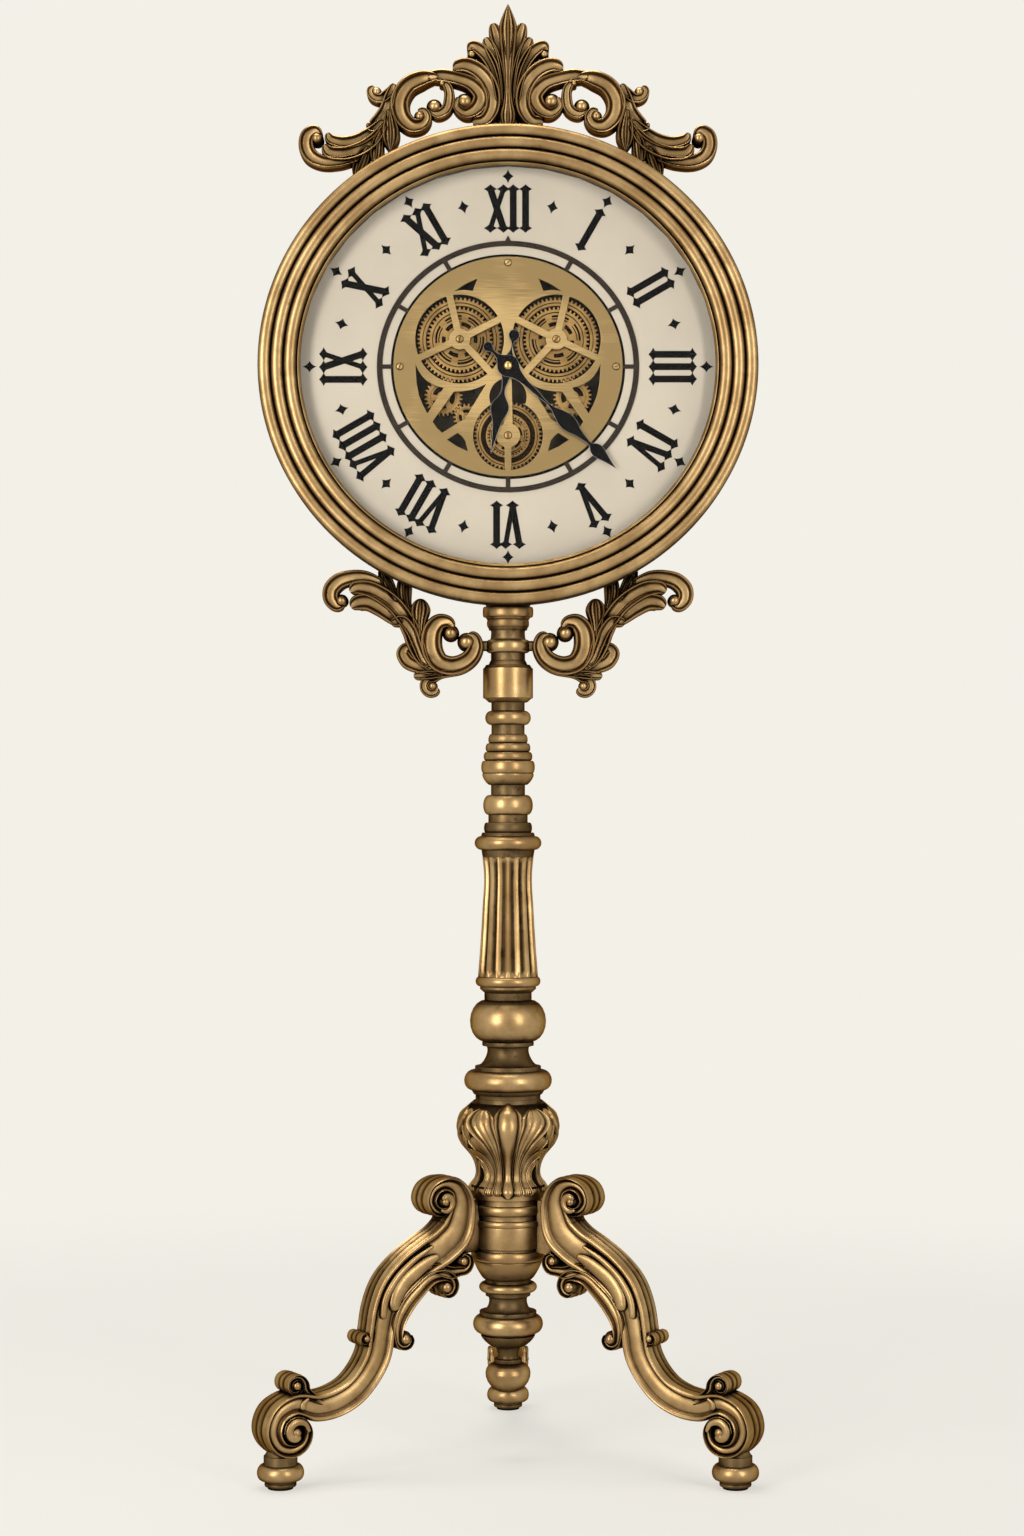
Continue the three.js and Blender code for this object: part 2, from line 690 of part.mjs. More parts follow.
// Column
const hubMouldings = [
  ...HUB_RING_MOULDINGS,
  [HUB_DRUM_HEIGHT, HUB_DRUM_RADIUS, HUB_DRUM_RADIUS],
  ...HUB_TOP_MOULDINGS,
];
const boltLevel = drumBase + HUB_DRUM_HEIGHT / 2;
const boltSeat = HUB_BORE_RADIUS + BOLT_SEAT_DEPTH;
const boltEnd = HUB_DRUM_RADIUS + BOLT_GRIP;

function boltHole() {
  const shank = rod(BOLT_RADIUS + SEAT_GAP, 0, boltEnd + SEAT_GAP);
  const headRoom = rod(BOLT_HEAD_RADIUS + SEAT_GAP, 0, boltSeat);
  return joined(shank, headRoom).rotateY(Math.PI / 2);
}

let hub = turnedPiece(hubMouldings, hubBase, HUB_BORE_RADIUS);
for (const angle of Object.values(LEG_ANGLES)) {
  hub = cut(hub, boltHole().rotateZ(degrees(angle)).translate(0, 0, boltLevel));
}
addPiece(clock, 'hub', hub, ANTIQUE_BRASS);

const rodBase = pendantTop - ROD_PENDANT_DEPTH;
const pendantOutline = mouldedOutline(PENDANT_MOULDINGS, pendantBase);
const pendant = turned([
  [0, pendantBase],
  ...pendantOutline,
  [rodBore, pendantTop],
  [rodBore, rodBase - SEAT_GAP],
  [0, rodBase - SEAT_GAP],
], COLUMN_SIDES);
addPiece(clock, 'pendant', pendant, ANTIQUE_BRASS);

let level = hubTop + SEAT_GAP;
for (const [name, mouldings] of [['vase', VASE_MOULDINGS], ['knop', KNOP_MOULDINGS]]) {
  addPiece(clock, name, turnedPiece(mouldings, level, rodBore), ANTIQUE_BRASS);
  level += heightOf(mouldings) + SEAT_GAP;
}

function flutedBody(base) {
  const points = [];
  for (let flute = 0; flute < FLUTE_COUNT; flute += 1) {
    for (const [share, depth] of FLUTE_SECTION) {
      const angle = 2 * Math.PI * (flute + share) / FLUTE_COUNT;
      const radius = SHAFT_FOOT_RADIUS - depth * FLUTE_DEPTH;
      points.push([radius * Math.cos(angle), radius * Math.sin(angle)]);
    }
  }
  const extrusion = { depth: 1, steps: SHAFT_STEPS, bevelEnabled: false };
  const body = new THREE.ExtrudeGeometry(polygon(points), extrusion);
  const position = body.attributes.position;
  const radii = new THREE.SplineCurve([
    new THREE.Vector2(0, SHAFT_FOOT_RADIUS),
    new THREE.Vector2(0.5, (SHAFT_FOOT_RADIUS + 3 * SHAFT_WAIST_RADIUS) / 4),
    new THREE.Vector2(SHAFT_WAIST_SHARE, SHAFT_WAIST_RADIUS),
    new THREE.Vector2(1, SHAFT_HEAD_RADIUS),
  ]);
  for (let i = 0; i < position.count; i += 1) {
    const share = position.getZ(i);
    const scale = radii.getPoint(share).y / SHAFT_FOOT_RADIUS;
    const height = base + FLUTE_LENGTH * radii.getPoint(share).x;
    position.setXYZ(i, position.getX(i) * scale, position.getY(i) * scale, height);
  }
  return body;
}

const shaftRing = heightOf(SHAFT_RING_MOULDINGS);
const shaftTop = level + shaftRing + FLUTE_LENGTH;
const flutedShaft = cut(
  joined(turnedPiece(SHAFT_RING_MOULDINGS, level, rodBore), flutedBody(level + shaftRing)),
  rod(rodBore, level - CUT_OVERSHOOT, shaftTop + CUT_OVERSHOOT, COLUMN_SIDES),
);
addPiece(clock, 'fluted_shaft', flutedShaft, ANTIQUE_BRASS);
level = shaftTop + SEAT_GAP;

addPiece(clock, 'upper_post', turnedPiece(POST_MOULDINGS, level, rodBore), ANTIQUE_BRASS);
level += heightOf(POST_MOULDINGS) + SEAT_GAP;

const neckMouldings = [
  ...NECK_LOWER_MOULDINGS,
  [NECK_RING_HEIGHT, NECK_RING_RADIUS, NECK_RING_RADIUS, NECK_RING_SWELL],
  ...NECK_UPPER_MOULDINGS,
];
const neckRingLevel = level + heightOf(NECK_LOWER_MOULDINGS) + NECK_RING_HEIGHT / 2;
addPiece(clock, 'neck', turnedPiece(neckMouldings, level, rodBore), ANTIQUE_BRASS);
const neckTop = level + heightOf(neckMouldings);
const headCentre = neckTop + SEAT_GAP + BEZEL_RADIUS;

const rodTop = neckTop + ROD_SADDLE_DEPTH;
addPiece(clock, 'tie_rod', rod(ROD_RADIUS, rodBase, rodTop, COLUMN_SIDES), ZINC_STEEL);

// Legs, feet and leg bolts
function legBody() {
  const outline = [LEG_OUTER_EDGE, LEG_INNER_EDGE].flatMap((edge) => {
    const points = edge.map((point) => new THREE.Vector2(...scaledPoint(point, FOOT_REACH, LEG_RISE)));
    return new THREE.SplineCurve(points).getPoints(edge.length + LEG_EDGE_EXTRA_POINTS);
  });
  return prism(new THREE.Shape(outline), -LEG_BODY_THICKNESS / 2, LEG_BODY_THICKNESS / 2);
}

function legVolute({ at, radius, thickness }) {
  const barrel = rod(radius * FOOT_REACH / 100, -thickness / 2, thickness / 2, COLUMN_SIDES);
  return barrel.translate(...scaledPoint(at, FOOT_REACH, LEG_RISE), 0);
}

function legTenon() {
  const height = HUB_DRUM_HEIGHT - 4 * SEAT_GAP;
  const end = LEG_TENON_END * FOOT_REACH / 100;
  const start = HUB_BORE_RADIUS;
  return block(end - start, height, LEG_TENON_THICKNESS).translate((start + end) / 2, boltLevel - legBase, 0);
}

function legSolid() {
  const strands = LEG_STRANDS.map((strand) => (
    prism(scaledStroke(strand, FOOT_REACH, LEG_RISE), -LEG_SCROLL_THICKNESS / 2, LEG_SCROLL_THICKNESS / 2)
  ));
  const whole = joined(legBody(), legTenon(), ...LEG_VOLUTES.map(legVolute), ...strands);
  const hubSeat = rod(HUB_DRUM_RADIUS + SEAT_GAP, -LEG_RISE, LEG_RISE, 2 * COLUMN_SIDES).rotateX(Math.PI / 2);
  const floorCut = block(4 * FOOT_REACH, footHeight, 4 * FOOT_REACH).translate(0, -footHeight / 2, 0);
  const studHole = rod(FOOT_STUD_RADIUS + SEAT_GAP, -CUT_OVERSHOOT, FOOT_STUD_LENGTH + SEAT_GAP);
  studHole.rotateX(-Math.PI / 2);
  return cut(
    whole,
    hubSeat.translate(0, boltLevel - legBase, 0),
    floorCut,
    studHole.translate(FOOT_REACH, 0, 0),
    boltHole().translate(0, boltLevel - legBase, 0),
  );
}

function footSolid() {
  const outline = mouldedOutline(FOOT_MOULDINGS, 0);
  const studTop = legBase + FOOT_STUD_LENGTH;
  const stud = [[FOOT_STUD_RADIUS, footHeight], [FOOT_STUD_RADIUS, studTop], [0, studTop]];
  return turned([[0, 0], ...outline, ...stud], COLUMN_SIDES);
}

function boltSolid() {
  const headEnd = boltSeat - SEAT_GAP;
  return turned([
    [0, headEnd - BOLT_HEAD_HEIGHT],
    [BOLT_HEAD_RADIUS, headEnd - BOLT_HEAD_HEIGHT],
    [BOLT_HEAD_RADIUS, headEnd],
    [BOLT_RADIUS, headEnd],
    [BOLT_RADIUS, boltEnd],
    [0, boltEnd],
  ], SMALL_SIDES).rotateY(Math.PI / 2);
}

for (const [side, angle] of Object.entries(LEG_ANGLES)) {
  const arm = new THREE.Group();
  arm.rotation.z = degrees(angle);
  clock.add(arm);
  const leg = addPiece(arm, `leg_${side}`, legSolid(), ANTIQUE_BRASS, [0, 0, legBase]);
  leg.rotation.x = Math.PI / 2;
  addPiece(arm, `foot_${side}`, footSolid(), ANTIQUE_BRASS, [FOOT_REACH, 0, 0]);
  addPiece(arm, `leg_bolt_${side}`, boltSolid(), ZINC_STEEL, [0, 0, boltLevel]);
}

// Head: x to the right, y up and z towards the viewer, from the middle of the dial's front face
const head = new THREE.Group();
head.position.set(0, -COLUMN_SETBACK, headCentre);
head.rotation.x = Math.PI / 2;
clock.add(head);

// Bezel and glazing
const lipRadius = BEZEL_RADIUS - REED_COUNT * REED_WIDTH - BEZEL_LIP_WIDTH;
const rabbetRadius = lipRadius + BEZEL_RABBET;
const glassRadius = rabbetRadius - SEAT_GAP;
const lipBack = GLASS_LEVEL + GLASS_THICKNESS + SEAT_GAP;
const flangeFront = BEZEL_BACK - SEAT_GAP;
const flangeBack = flangeFront - CASE_FLANGE_THICKNESS;

function bezelOutline() {
  const reeds = [];
  for (let reed = 0; reed < REED_COUNT; reed += 1) {
    const middle = BEZEL_RADIUS - (reed + 0.5) * REED_WIDTH;
    for (let step = 0; step <= CURVE_STEPS; step += 1) {
      const turn = Math.PI * step / CURVE_STEPS;
      if (reed === 0 || step > 0) {
        reeds.push([middle + REED_WIDTH / 2 * Math.cos(turn), REED_BASE + REED_RISE * Math.sin(turn)]);
      }
    }
  }
  const channelInner = rabbetRadius + BEZEL_CHANNEL_WALL;
  const channelOuter = BEZEL_RADIUS - BEZEL_CHANNEL_WALL;
  const channelTop = REED_BASE - BEZEL_CHANNEL_FLOOR;
  return [
    [rabbetRadius, BEZEL_BACK],
    [channelInner, BEZEL_BACK],
    [channelInner, channelTop],
    [channelOuter, channelTop],
    [channelOuter, BEZEL_BACK],
    [BEZEL_RADIUS, BEZEL_BACK],
    ...reeds,
    [lipRadius, lipBack + BEZEL_LIP_THICKNESS],
    [lipRadius, lipBack],
    [rabbetRadius, lipBack],
  ];
}

addPiece(head, 'bezel', widened(turned(bezelOutline(), RIM_SIDES)), ANTIQUE_BRASS);
const glass = rod(glassRadius, GLASS_LEVEL, GLASS_LEVEL + GLASS_THICKNESS, RIM_SIDES);
addPiece(head, 'glass', widened(glass), CLEAR_GLASS);
const spacer = tube(glassRadius - SPACER_WIDTH, glassRadius, SEAT_GAP, GLASS_LEVEL - SEAT_GAP, RIM_SIDES);
addPiece(head, 'glass_spacer', widened(spacer), BLACK_PLASTIC);
const dialOpening = PLATE_RADIUS - PLATE_OVERLAP;
const dial = tube(dialOpening, glassRadius, -DIAL_THICKNESS, 0, RIM_SIDES);
addPiece(head, 'dial_plate', widened(dial), CREAM_ENAMEL);

// Case shell and back cover
const caseFront = -DIAL_THICKNESS - SEAT_GAP;
const caseInner = glassRadius - CASE_WALL - SPACER_WIDTH / 2;
const caseOuter = caseInner + CASE_WALL;
const flangeRadius = BEZEL_RADIUS - CASE_FLANGE_MARGIN;
const caseOutline = [
  [caseInner, caseFront],
  [caseInner, CASE_WALL - CASE_DEPTH],
  [caseInner - CASE_REAR_FLANGE, CASE_WALL - CASE_DEPTH],
  [caseInner - CASE_REAR_FLANGE, -CASE_DEPTH],
  [caseOuter, -CASE_DEPTH],
  [caseOuter, flangeBack],
  [flangeRadius, flangeBack],
  [flangeRadius, flangeFront],
  [caseOuter, flangeFront],
  [caseOuter, caseFront],
];
const saddleDepthMiddle = flangeBack - SEAT_GAP - SADDLE_THICKNESS / 2;

function saddleScrewHole(side) {
  const bore = rod(SADDLE_SCREW_RADIUS + SEAT_GAP, -SADDLE_SCREW_LENGTH - SEAT_GAP, SADDLE_SCREW_LENGTH);
  bore.rotateX(-Math.PI / 2);
  return bore.translate(side * SADDLE_SCREW_SPREAD, saddleScrewLevel(), saddleDepthMiddle);
}

function saddleScrewLevel() {
  const reach = (SADDLE_SCREW_SPREAD + SADDLE_SCREW_HEAD_RADIUS) / HEAD_WIDTH_RATIO;
  const flatRadius = caseInner * Math.cos(Math.PI / RIM_SIDES);
  return SEAT_GAP - Math.sqrt(flatRadius ** 2 - reach ** 2);
}

const coverScrewReach = caseInner - CASE_REAR_FLANGE / 2;
const coverFace = -CASE_DEPTH - SEAT_GAP - COVER_THICKNESS;

function coverScrewPlace(angle) {
  const [x, y] = bearing(angle, coverScrewReach);
  return [x * HEAD_WIDTH_RATIO, y];
}

function coverScrewHole(angle) {
  const [x, y] = coverScrewPlace(angle);
  const front = CASE_WALL - CASE_DEPTH + CUT_OVERSHOOT;
  return rod(COVER_SCREW_RADIUS + SEAT_GAP, coverFace - CUT_OVERSHOOT, front).translate(x, y, 0);
}

const coverScrewHoles = () => Object.values(COVER_SCREW_BEARINGS).map(coverScrewHole);
const caseShell = cut(
  widened(turned(caseOutline, RIM_SIDES)),
  saddleScrewHole(-1),
  saddleScrewHole(1),
  ...coverScrewHoles(),
);
addPiece(head, 'case_shell', caseShell, DARK_BRONZE);

const doorMiddle = (DOOR_TOP + DOOR_BOTTOM) / 2;
const doorHeight = DOOR_TOP - DOOR_BOTTOM;
const hingeRise = DOOR_TOP + DOOR_KNUCKLE_RADIUS;
const hingeLevel = coverFace - SEAT_GAP - DOOR_KNUCKLE_RADIUS;
const knuckleSpacing = DOOR_KNUCKLE_LENGTH + SEAT_GAP;

function knuckle(place) {
  const barrel = rod(DOOR_KNUCKLE_RADIUS, -DOOR_KNUCKLE_LENGTH / 2, DOOR_KNUCKLE_LENGTH / 2);
  return barrel.rotateY(Math.PI / 2).translate(place * knuckleSpacing, hingeRise, hingeLevel);
}

function pinBore() {
  const bore = rod(DOOR_PIN_RADIUS + SEAT_GAP, -DOOR_WIDTH, DOOR_WIDTH);
  return bore.rotateY(Math.PI / 2).translate(0, hingeRise, hingeLevel);
}

function coverKnuckle(place) {
  const leafDepth = DOOR_KNUCKLE_RADIUS + SEAT_GAP + COVER_THICKNESS / 2;
  const leaf = block(DOOR_KNUCKLE_LENGTH, DOOR_KNUCKLE_RADIUS, leafDepth);
  leaf.translate(place * knuckleSpacing, hingeRise + DOOR_KNUCKLE_RADIUS / 2, hingeLevel + leafDepth / 2);
  return joined(knuckle(place), leaf);
}

const coverOpening = block(DOOR_WIDTH - 2 * DOOR_OVERLAP, doorHeight - 2 * DOOR_OVERLAP, 4 * COVER_THICKNESS);
const coverDisc = widened(rod(caseOuter, coverFace, coverFace + COVER_THICKNESS, RIM_SIDES));
const backCover = cut(
  joined(coverDisc, coverKnuckle(-1), coverKnuckle(1)),
  pinBore(),
  coverOpening.translate(0, doorMiddle, coverFace),
  ...coverScrewHoles(),
);
addPiece(head, 'back_cover', backCover, DARK_BRONZE);

const doorLevel = coverFace - SEAT_GAP - DOOR_THICKNESS / 2;
const doorPlate = block(DOOR_WIDTH, doorHeight, DOOR_THICKNESS).translate(0, doorMiddle, doorLevel);
const doorTongue = block(DOOR_KNUCKLE_LENGTH, 2 * DOOR_KNUCKLE_RADIUS, DOOR_THICKNESS);
const doorLip = block(DOOR_LIP_WIDTH, DOOR_THICKNESS, DOOR_LIP_RISE);
const batteryDoor = cut(
  joined(
    doorPlate,
    doorTongue.translate(0, DOOR_TOP, doorLevel),
    knuckle(0),
    doorLip.translate(0, DOOR_BOTTOM + DOOR_THICKNESS, doorLevel - DOOR_LIP_RISE / 2),
  ),
  pinBore(),
);
addPiece(head, 'battery_door', batteryDoor, DARK_BRONZE);
const doorPin = rod(DOOR_PIN_RADIUS, -1.5 * knuckleSpacing, 1.5 * knuckleSpacing).rotateY(Math.PI / 2);
addPiece(head, 'door_pin', doorPin, ZINC_STEEL, [0, hingeRise, hingeLevel]);

for (const [side, angle] of Object.entries(COVER_SCREW_BEARINGS)) {
  const [x, y] = coverScrewPlace(angle);
  const grip = COVER_THICKNESS + CASE_WALL;
  const fastener = screw(COVER_SCREW_RADIUS, grip, SCREW_HEAD_RADIUS, SCREW_HEAD_HEIGHT);
  addPiece(head, `cover_screw_${side}`, fastener.rotateX(Math.PI), ZINC_STEEL, [x, y, coverFace - SEAT_GAP]);
}

// Saddle between the neck and the case
const saddleBase = -BEZEL_RADIUS;
const saddleTop = saddleBase + (BEZEL_RADIUS - caseOuter) * SADDLE_RISE_SHARE;
const saddleOutline = polygon([
  [-SADDLE_FOOT_WIDTH / 2, saddleBase],
  [SADDLE_FOOT_WIDTH / 2, saddleBase],
  [SADDLE_HEAD_WIDTH / 2, saddleTop],
  [-SADDLE_HEAD_WIDTH / 2, saddleTop],
]);
const saddleRodHole = rod(rodBore, -CUT_OVERSHOOT, ROD_SADDLE_DEPTH, COLUMN_SIDES).rotateX(-Math.PI / 2);
const saddle = cut(
  prism(saddleOutline, saddleDepthMiddle - SADDLE_THICKNESS / 2, saddleDepthMiddle + SADDLE_THICKNESS / 2),
  widened(rod(caseOuter + SEAT_GAP, -2 * CASE_DEPTH, CASE_DEPTH, RIM_SIDES)),
  saddleRodHole.translate(0, saddleBase, -COLUMN_SETBACK),
  saddleScrewHole(-1),
  saddleScrewHole(1),
);
addPiece(head, 'saddle', saddle, DARK_BRONZE);
for (const [name, side] of [['left', -1], ['right', 1]]) {
  const headHeight = 2 * SCREW_HEAD_HEIGHT;
  const fastener = screw(SADDLE_SCREW_RADIUS, SADDLE_SCREW_LENGTH, SADDLE_SCREW_HEAD_RADIUS, headHeight);
  const place = [side * SADDLE_SCREW_SPREAD, saddleScrewLevel(), saddleDepthMiddle];
  addPiece(head, `saddle_screw_${name}`, fastener.rotateX(-Math.PI / 2), ZINC_STEEL, place);
}

// Crest and brackets
function ornamentHalf(strokes, bosses) {
  const bands = strokes.map((stroke) => (
    prism(scaledStroke(stroke, BEZEL_RADIUS, BEZEL_RADIUS), ORNAMENT_BACK, ORNAMENT_FRONT)
  ));
  const balls = bosses.map(({ at, radius }) => {
    const ball = boss(radius * BEZEL_RADIUS / 100, ORNAMENT_BACK, ORNAMENT_FRONT + ORNAMENT_RELIEF);
    return ball.translate(...scaledPoint(at, BEZEL_RADIUS, BEZEL_RADIUS), 0);
  });
  return joined(...bands, ...balls);
}

function bezelSeat() {
  return widened(rod(BEZEL_RADIUS + SEAT_GAP, flangeBack - SEAT_GAP, 2 * REED_BASE, RIM_SIDES));
}

const crestHalf = ornamentHalf(CREST_STROKES, CREST_BOSSES);
const crestLeaf = scaledStroke(CREST_CENTRE, BEZEL_RADIUS, BEZEL_RADIUS);
const crestCentre = prism(crestLeaf, ORNAMENT_BACK, ORNAMENT_FRONT + ORNAMENT_RELIEF);
const crestFootWidth = CREST_FOOT_WIDTH * BEZEL_RADIUS / 100;
const crestFootDepth = CREST_FOOT_DEPTH * BEZEL_RADIUS / 100;
const crestFoot = block(crestFootWidth, 2 * crestFootDepth, ORNAMENT_FRONT - ORNAMENT_BACK);
const crest = cut(
  joined(
    crestHalf,
    mirrored(crestHalf),
    crestCentre,
    crestFoot.translate(0, -crestFootDepth / 2, (ORNAMENT_FRONT + ORNAMENT_BACK) / 2),
  ).translate(0, BEZEL_RADIUS, 0),
  bezelSeat(),
);
addPiece(head, 'crest', crest, ANTIQUE_BRASS);

const bracketRise = neckRingLevel - headCentre;
const neckReach = NECK_RING_RADIUS + NECK_RING_SWELL + SEAT_GAP;
const neckSeat = rod(neckReach, -BEZEL_RADIUS, BEZEL_RADIUS, 2 * COLUMN_SIDES);
neckSeat.rotateX(Math.PI / 2).translate(0, bracketRise, -COLUMN_SETBACK);
const bracketLeft = cut(
  ornamentHalf(BRACKET_STROKES, BRACKET_BOSSES).translate(0, bracketRise, 0),
  bezelSeat(),
  neckSeat,
);
addPiece(head, 'bracket_left', bracketLeft, ANTIQUE_BRASS);
addPiece(head, 'bracket_right', mirrored(bracketLeft), ANTIQUE_BRASS);

// Gear train places
const wheelLeftAt = [-WHEEL_OFFSET, WHEEL_RISE];
const lowerAt = [0, -LOWER_DROP];
const pinionReach = gearRadius(LOWER_TEETH) + gearRadius(PINION_TEETH);
const [pinionAside, pinionRise] = bearing(PINION_BEARING, pinionReach);
const pinionLeftAt = [lowerAt[0] + pinionAside, lowerAt[1] + pinionRise];
const idlerLeftAt = meetingPoint(
  wheelLeftAt,
  gearRadius(WHEEL_TEETH) + gearRadius(IDLER_TEETH),
  pinionLeftAt,
  gearRadius(IDLER_TEETH) + gearRadius(PINION_TEETH),
);

// Gear plate with its windows and spiders
const plateBack = SEAT_GAP;
const plateFront = plateBack + PLATE_THICKNESS;

function arc([x, y], radius, from, to, steps) {
  const points = [];
  for (let step = 0; step <= steps; step += 1) {
    const [aside, rise] = bearing(from + (to - from) * step / steps, radius);
    points.push([x + aside, y + rise]);
  }
  return points;
}

function circle(centre, radius, sides = SMALL_SIDES) {
  return arc(centre, radius, 0, 360, sides).slice(1);
}

function mirrorPoints(points) {
  return points.map(([x, y]) => [-x, y]).reverse();
}

// The opening between two spokes of a spider, from the window's edge in to the hub
function spiderOpening(centre, windowRadius, hubRadius, from, to) {
  const windowTurn = Math.asin(SPIDER_SPOKE_WIDTH / 2 / windowRadius) * 180 / Math.PI;
  const hubTurn = Math.asin(SPIDER_SPOKE_WIDTH / 2 / hubRadius) * 180 / Math.PI;
  return [
    ...arc(centre, windowRadius, from + windowTurn, to - windowTurn, WINDOW_STEPS),
    ...arc(centre, hubRadius, to - hubTurn, from + hubTurn, HUB_STEPS),
  ];
}

const wheelRightAt = [WHEEL_OFFSET, WHEEL_RISE];
const leftOpenings = [...LEFT_PLATE_OPENINGS];
LEFT_SPIDER_BEARINGS.forEach((from, order) => {
  const to = LEFT_SPIDER_BEARINGS[(order + 1) % LEFT_SPIDER_BEARINGS.length];
  const next = to > from ? to : to + 360;
  leftOpenings.push(spiderOpening(wheelLeftAt, WINDOW_RADIUS, SPIDER_HUB_RADIUS, from, next));
});
leftOpenings.push(spiderOpening(lowerAt, LOWER_WINDOW_RADIUS, LOWER_HUB_RADIUS, ...LOWER_OPENING_BEARINGS));
const loopTurn = Math.asin(SPIDER_SPOKE_WIDTH / 2 / LOOP_WINDOW_RADIUS) * 180 / Math.PI;
const loopAt = [0, -LOOP_WINDOW_DROP];
leftOpenings.push(arc(loopAt, LOOP_WINDOW_RADIUS, 90 + loopTurn, 270 - loopTurn, WINDOW_STEPS));

const plateScrewReach = PLATE_RADIUS - PLATE_SCREW_INSET;
const plateScrewPlaces = {
  top: [0, plateScrewReach],
  left: [-plateScrewReach * HEAD_WIDTH_RATIO, 0],
  right: [plateScrewReach * HEAD_WIDTH_RATIO, 0],
};
const hourTubeOuter = MINUTE_ARBOR_RADIUS + SEAT_GAP + HOUR_TUBE_WALL;
const arborHole = ARBOR_RADIUS + SEAT_GAP;
const plateHoles = [
  ...leftOpenings,
  ...leftOpenings.map(mirrorPoints),
  ...[wheelLeftAt, wheelRightAt, lowerAt].map((place) => circle(place, arborHole)),
  circle([0, 0], hourTubeOuter + SEAT_GAP),
  ...Object.values(plateScrewPlaces).map((place) => circle(place, PLATE_SCREW_RADIUS + SEAT_GAP)),
];
const plateRim = circle([0, 0], PLATE_RADIUS, RIM_SIDES).map(([x, y]) => [x * HEAD_WIDTH_RATIO, y]);
const gearPlate = prism(pierced(plateRim, plateHoles), plateBack, plateFront);
addPiece(head, 'gear_plate', gearPlate, BRUSHED_BRASS);

// Minute ring on the dial, with a spoke at every hour but twelve and a pointer there
const ringBase = SEAT_GAP;
const ringTop = ringBase + RING_THICKNESS;
const ringInner = RING_RADIUS - RING_WIDTH;
const spokeInner = PLATE_RADIUS + SEAT_GAP;
const ringOpening = [];
for (let hour = 0; hour < 12; hour += 1) {
  const angle = 90 - HOUR_ANGLE * hour;
  if (hour > 0) {
    const innerTurn = Math.asin(RING_SPOKE_WIDTH / 2 / ringInner) * 180 / Math.PI;
    const tipTurn = Math.asin(RING_SPOKE_WIDTH / 2 / spokeInner) * 180 / Math.PI;
    ringOpening.push(bearing(angle + innerTurn, ringInner), bearing(angle + tipTurn, spokeInner));
    ringOpening.push(bearing(angle - tipTurn, spokeInner), bearing(angle - innerTurn, ringInner));
  } else {
    ringOpening.push(bearing(angle, ringInner));
  }
  ringOpening.push(bearing(angle - HOUR_ANGLE / 3, ringInner));
  ringOpening.push(bearing(angle - 2 * HOUR_ANGLE / 3, ringInner));
}
const pointerBase = RING_RADIUS - RING_WIDTH / 2;
const pointer = polygon([
  [-RING_POINTER / 2, pointerBase],
  [RING_POINTER / 2, pointerBase],
  [0, RING_RADIUS + RING_POINTER],
]);
const ringShape = pierced(circle([0, 0], RING_RADIUS, RIM_SIDES), [ringOpening]);
const minuteRing = joined(widened(prism(ringShape, ringBase, ringTop)), prism(pointer, ringBase, ringTop));
addPiece(head, 'minute_ring', minuteRing, DARK_BRONZE);

// Rear plate with the pillars that carry the gear plate
const rearFront = plateBack - PLATE_SPACING;
const rearBack = rearFront - PLATE_THICKNESS;
const sides = { left: -1, right: 1 };
const gearArbors = [lowerAt];
for (const side of Object.values(sides)) {
  for (const [x, y] of [wheelLeftAt, idlerLeftAt, pinionLeftAt]) {
    gearArbors.push([-side * x, y]);
  }
}
const minuteWheelReach = gearRadius(CANNON_TEETH + MINUTE_WHEEL_TEETH, MOTION_MODULE);
const minuteWheelAt = bearing(MINUTE_WHEEL_BEARING, minuteWheelReach);

function rearHole(radius, [x, y]) {
  return rod(radius, rearBack - CUT_OVERSHOOT, rearFront + CUT_OVERSHOOT).translate(x, y, 0);
}

function pillar([x, y]) {
  return rod(PILLAR_RADIUS, rearFront - PLATE_THICKNESS / 2, plateBack - SEAT_GAP).translate(x, y, 0);
}

function pillarBore([x, y]) {
  return rod(PLATE_SCREW_RADIUS + SEAT_GAP, rearFront + PLATE_THICKNESS, plateBack).translate(x, y, 0);
}

const rearPlate = cut(
  joined(
    widened(rod(dialOpening, rearBack, rearFront, RIM_SIDES)),
    ...Object.values(plateScrewPlaces).map(pillar),
  ),
  ...Object.values(plateScrewPlaces).map(pillarBore),
  ...gearArbors.map((place) => rearHole(arborHole, place)),
  rearHole(hourTubeOuter + SEAT_GAP, [0, 0]),
  rearHole(SMALL_ARBOR_RADIUS + SEAT_GAP, minuteWheelAt),
);
addPiece(head, 'rear_plate', rearPlate, DARK_BRONZE);

for (const [side, [x, y]] of Object.entries(plateScrewPlaces)) {
  const fastener = screw(PLATE_SCREW_RADIUS, PLATE_SPACING / 2, SCREW_HEAD_RADIUS, SCREW_HEAD_HEIGHT);
  addPiece(head, `plate_screw_${side}`, fastener, BRUSHED_BRASS, [x, y, plateFront + SEAT_GAP]);
}

// Display gears, each on its own arbor
const gearBase = GEAR_LEVEL - GEAR_THICKNESS;
const arborBack = rearBack - ARBOR_END;

function wheelGear(teeth, phase) {
  const arbor = turned([
    [0, arborBack],
    [ARBOR_RADIUS, arborBack],
    [ARBOR_RADIUS, plateFront + SEAT_GAP],
    [SCREW_HEAD_RADIUS, plateFront + SEAT_GAP],
    [SCREW_HEAD_RADIUS * SCREW_CROWN, plateFront + SEAT_GAP + SCREW_HEAD_HEIGHT],
    [0, plateFront + SEAT_GAP + SCREW_HEAD_HEIGHT],
  ], SMALL_SIDES);
  return joined(prism(gearShape(teeth, GEAR_MODULE, phase, FLAT_TOOTH), gearBase, GEAR_LEVEL), arbor);
}

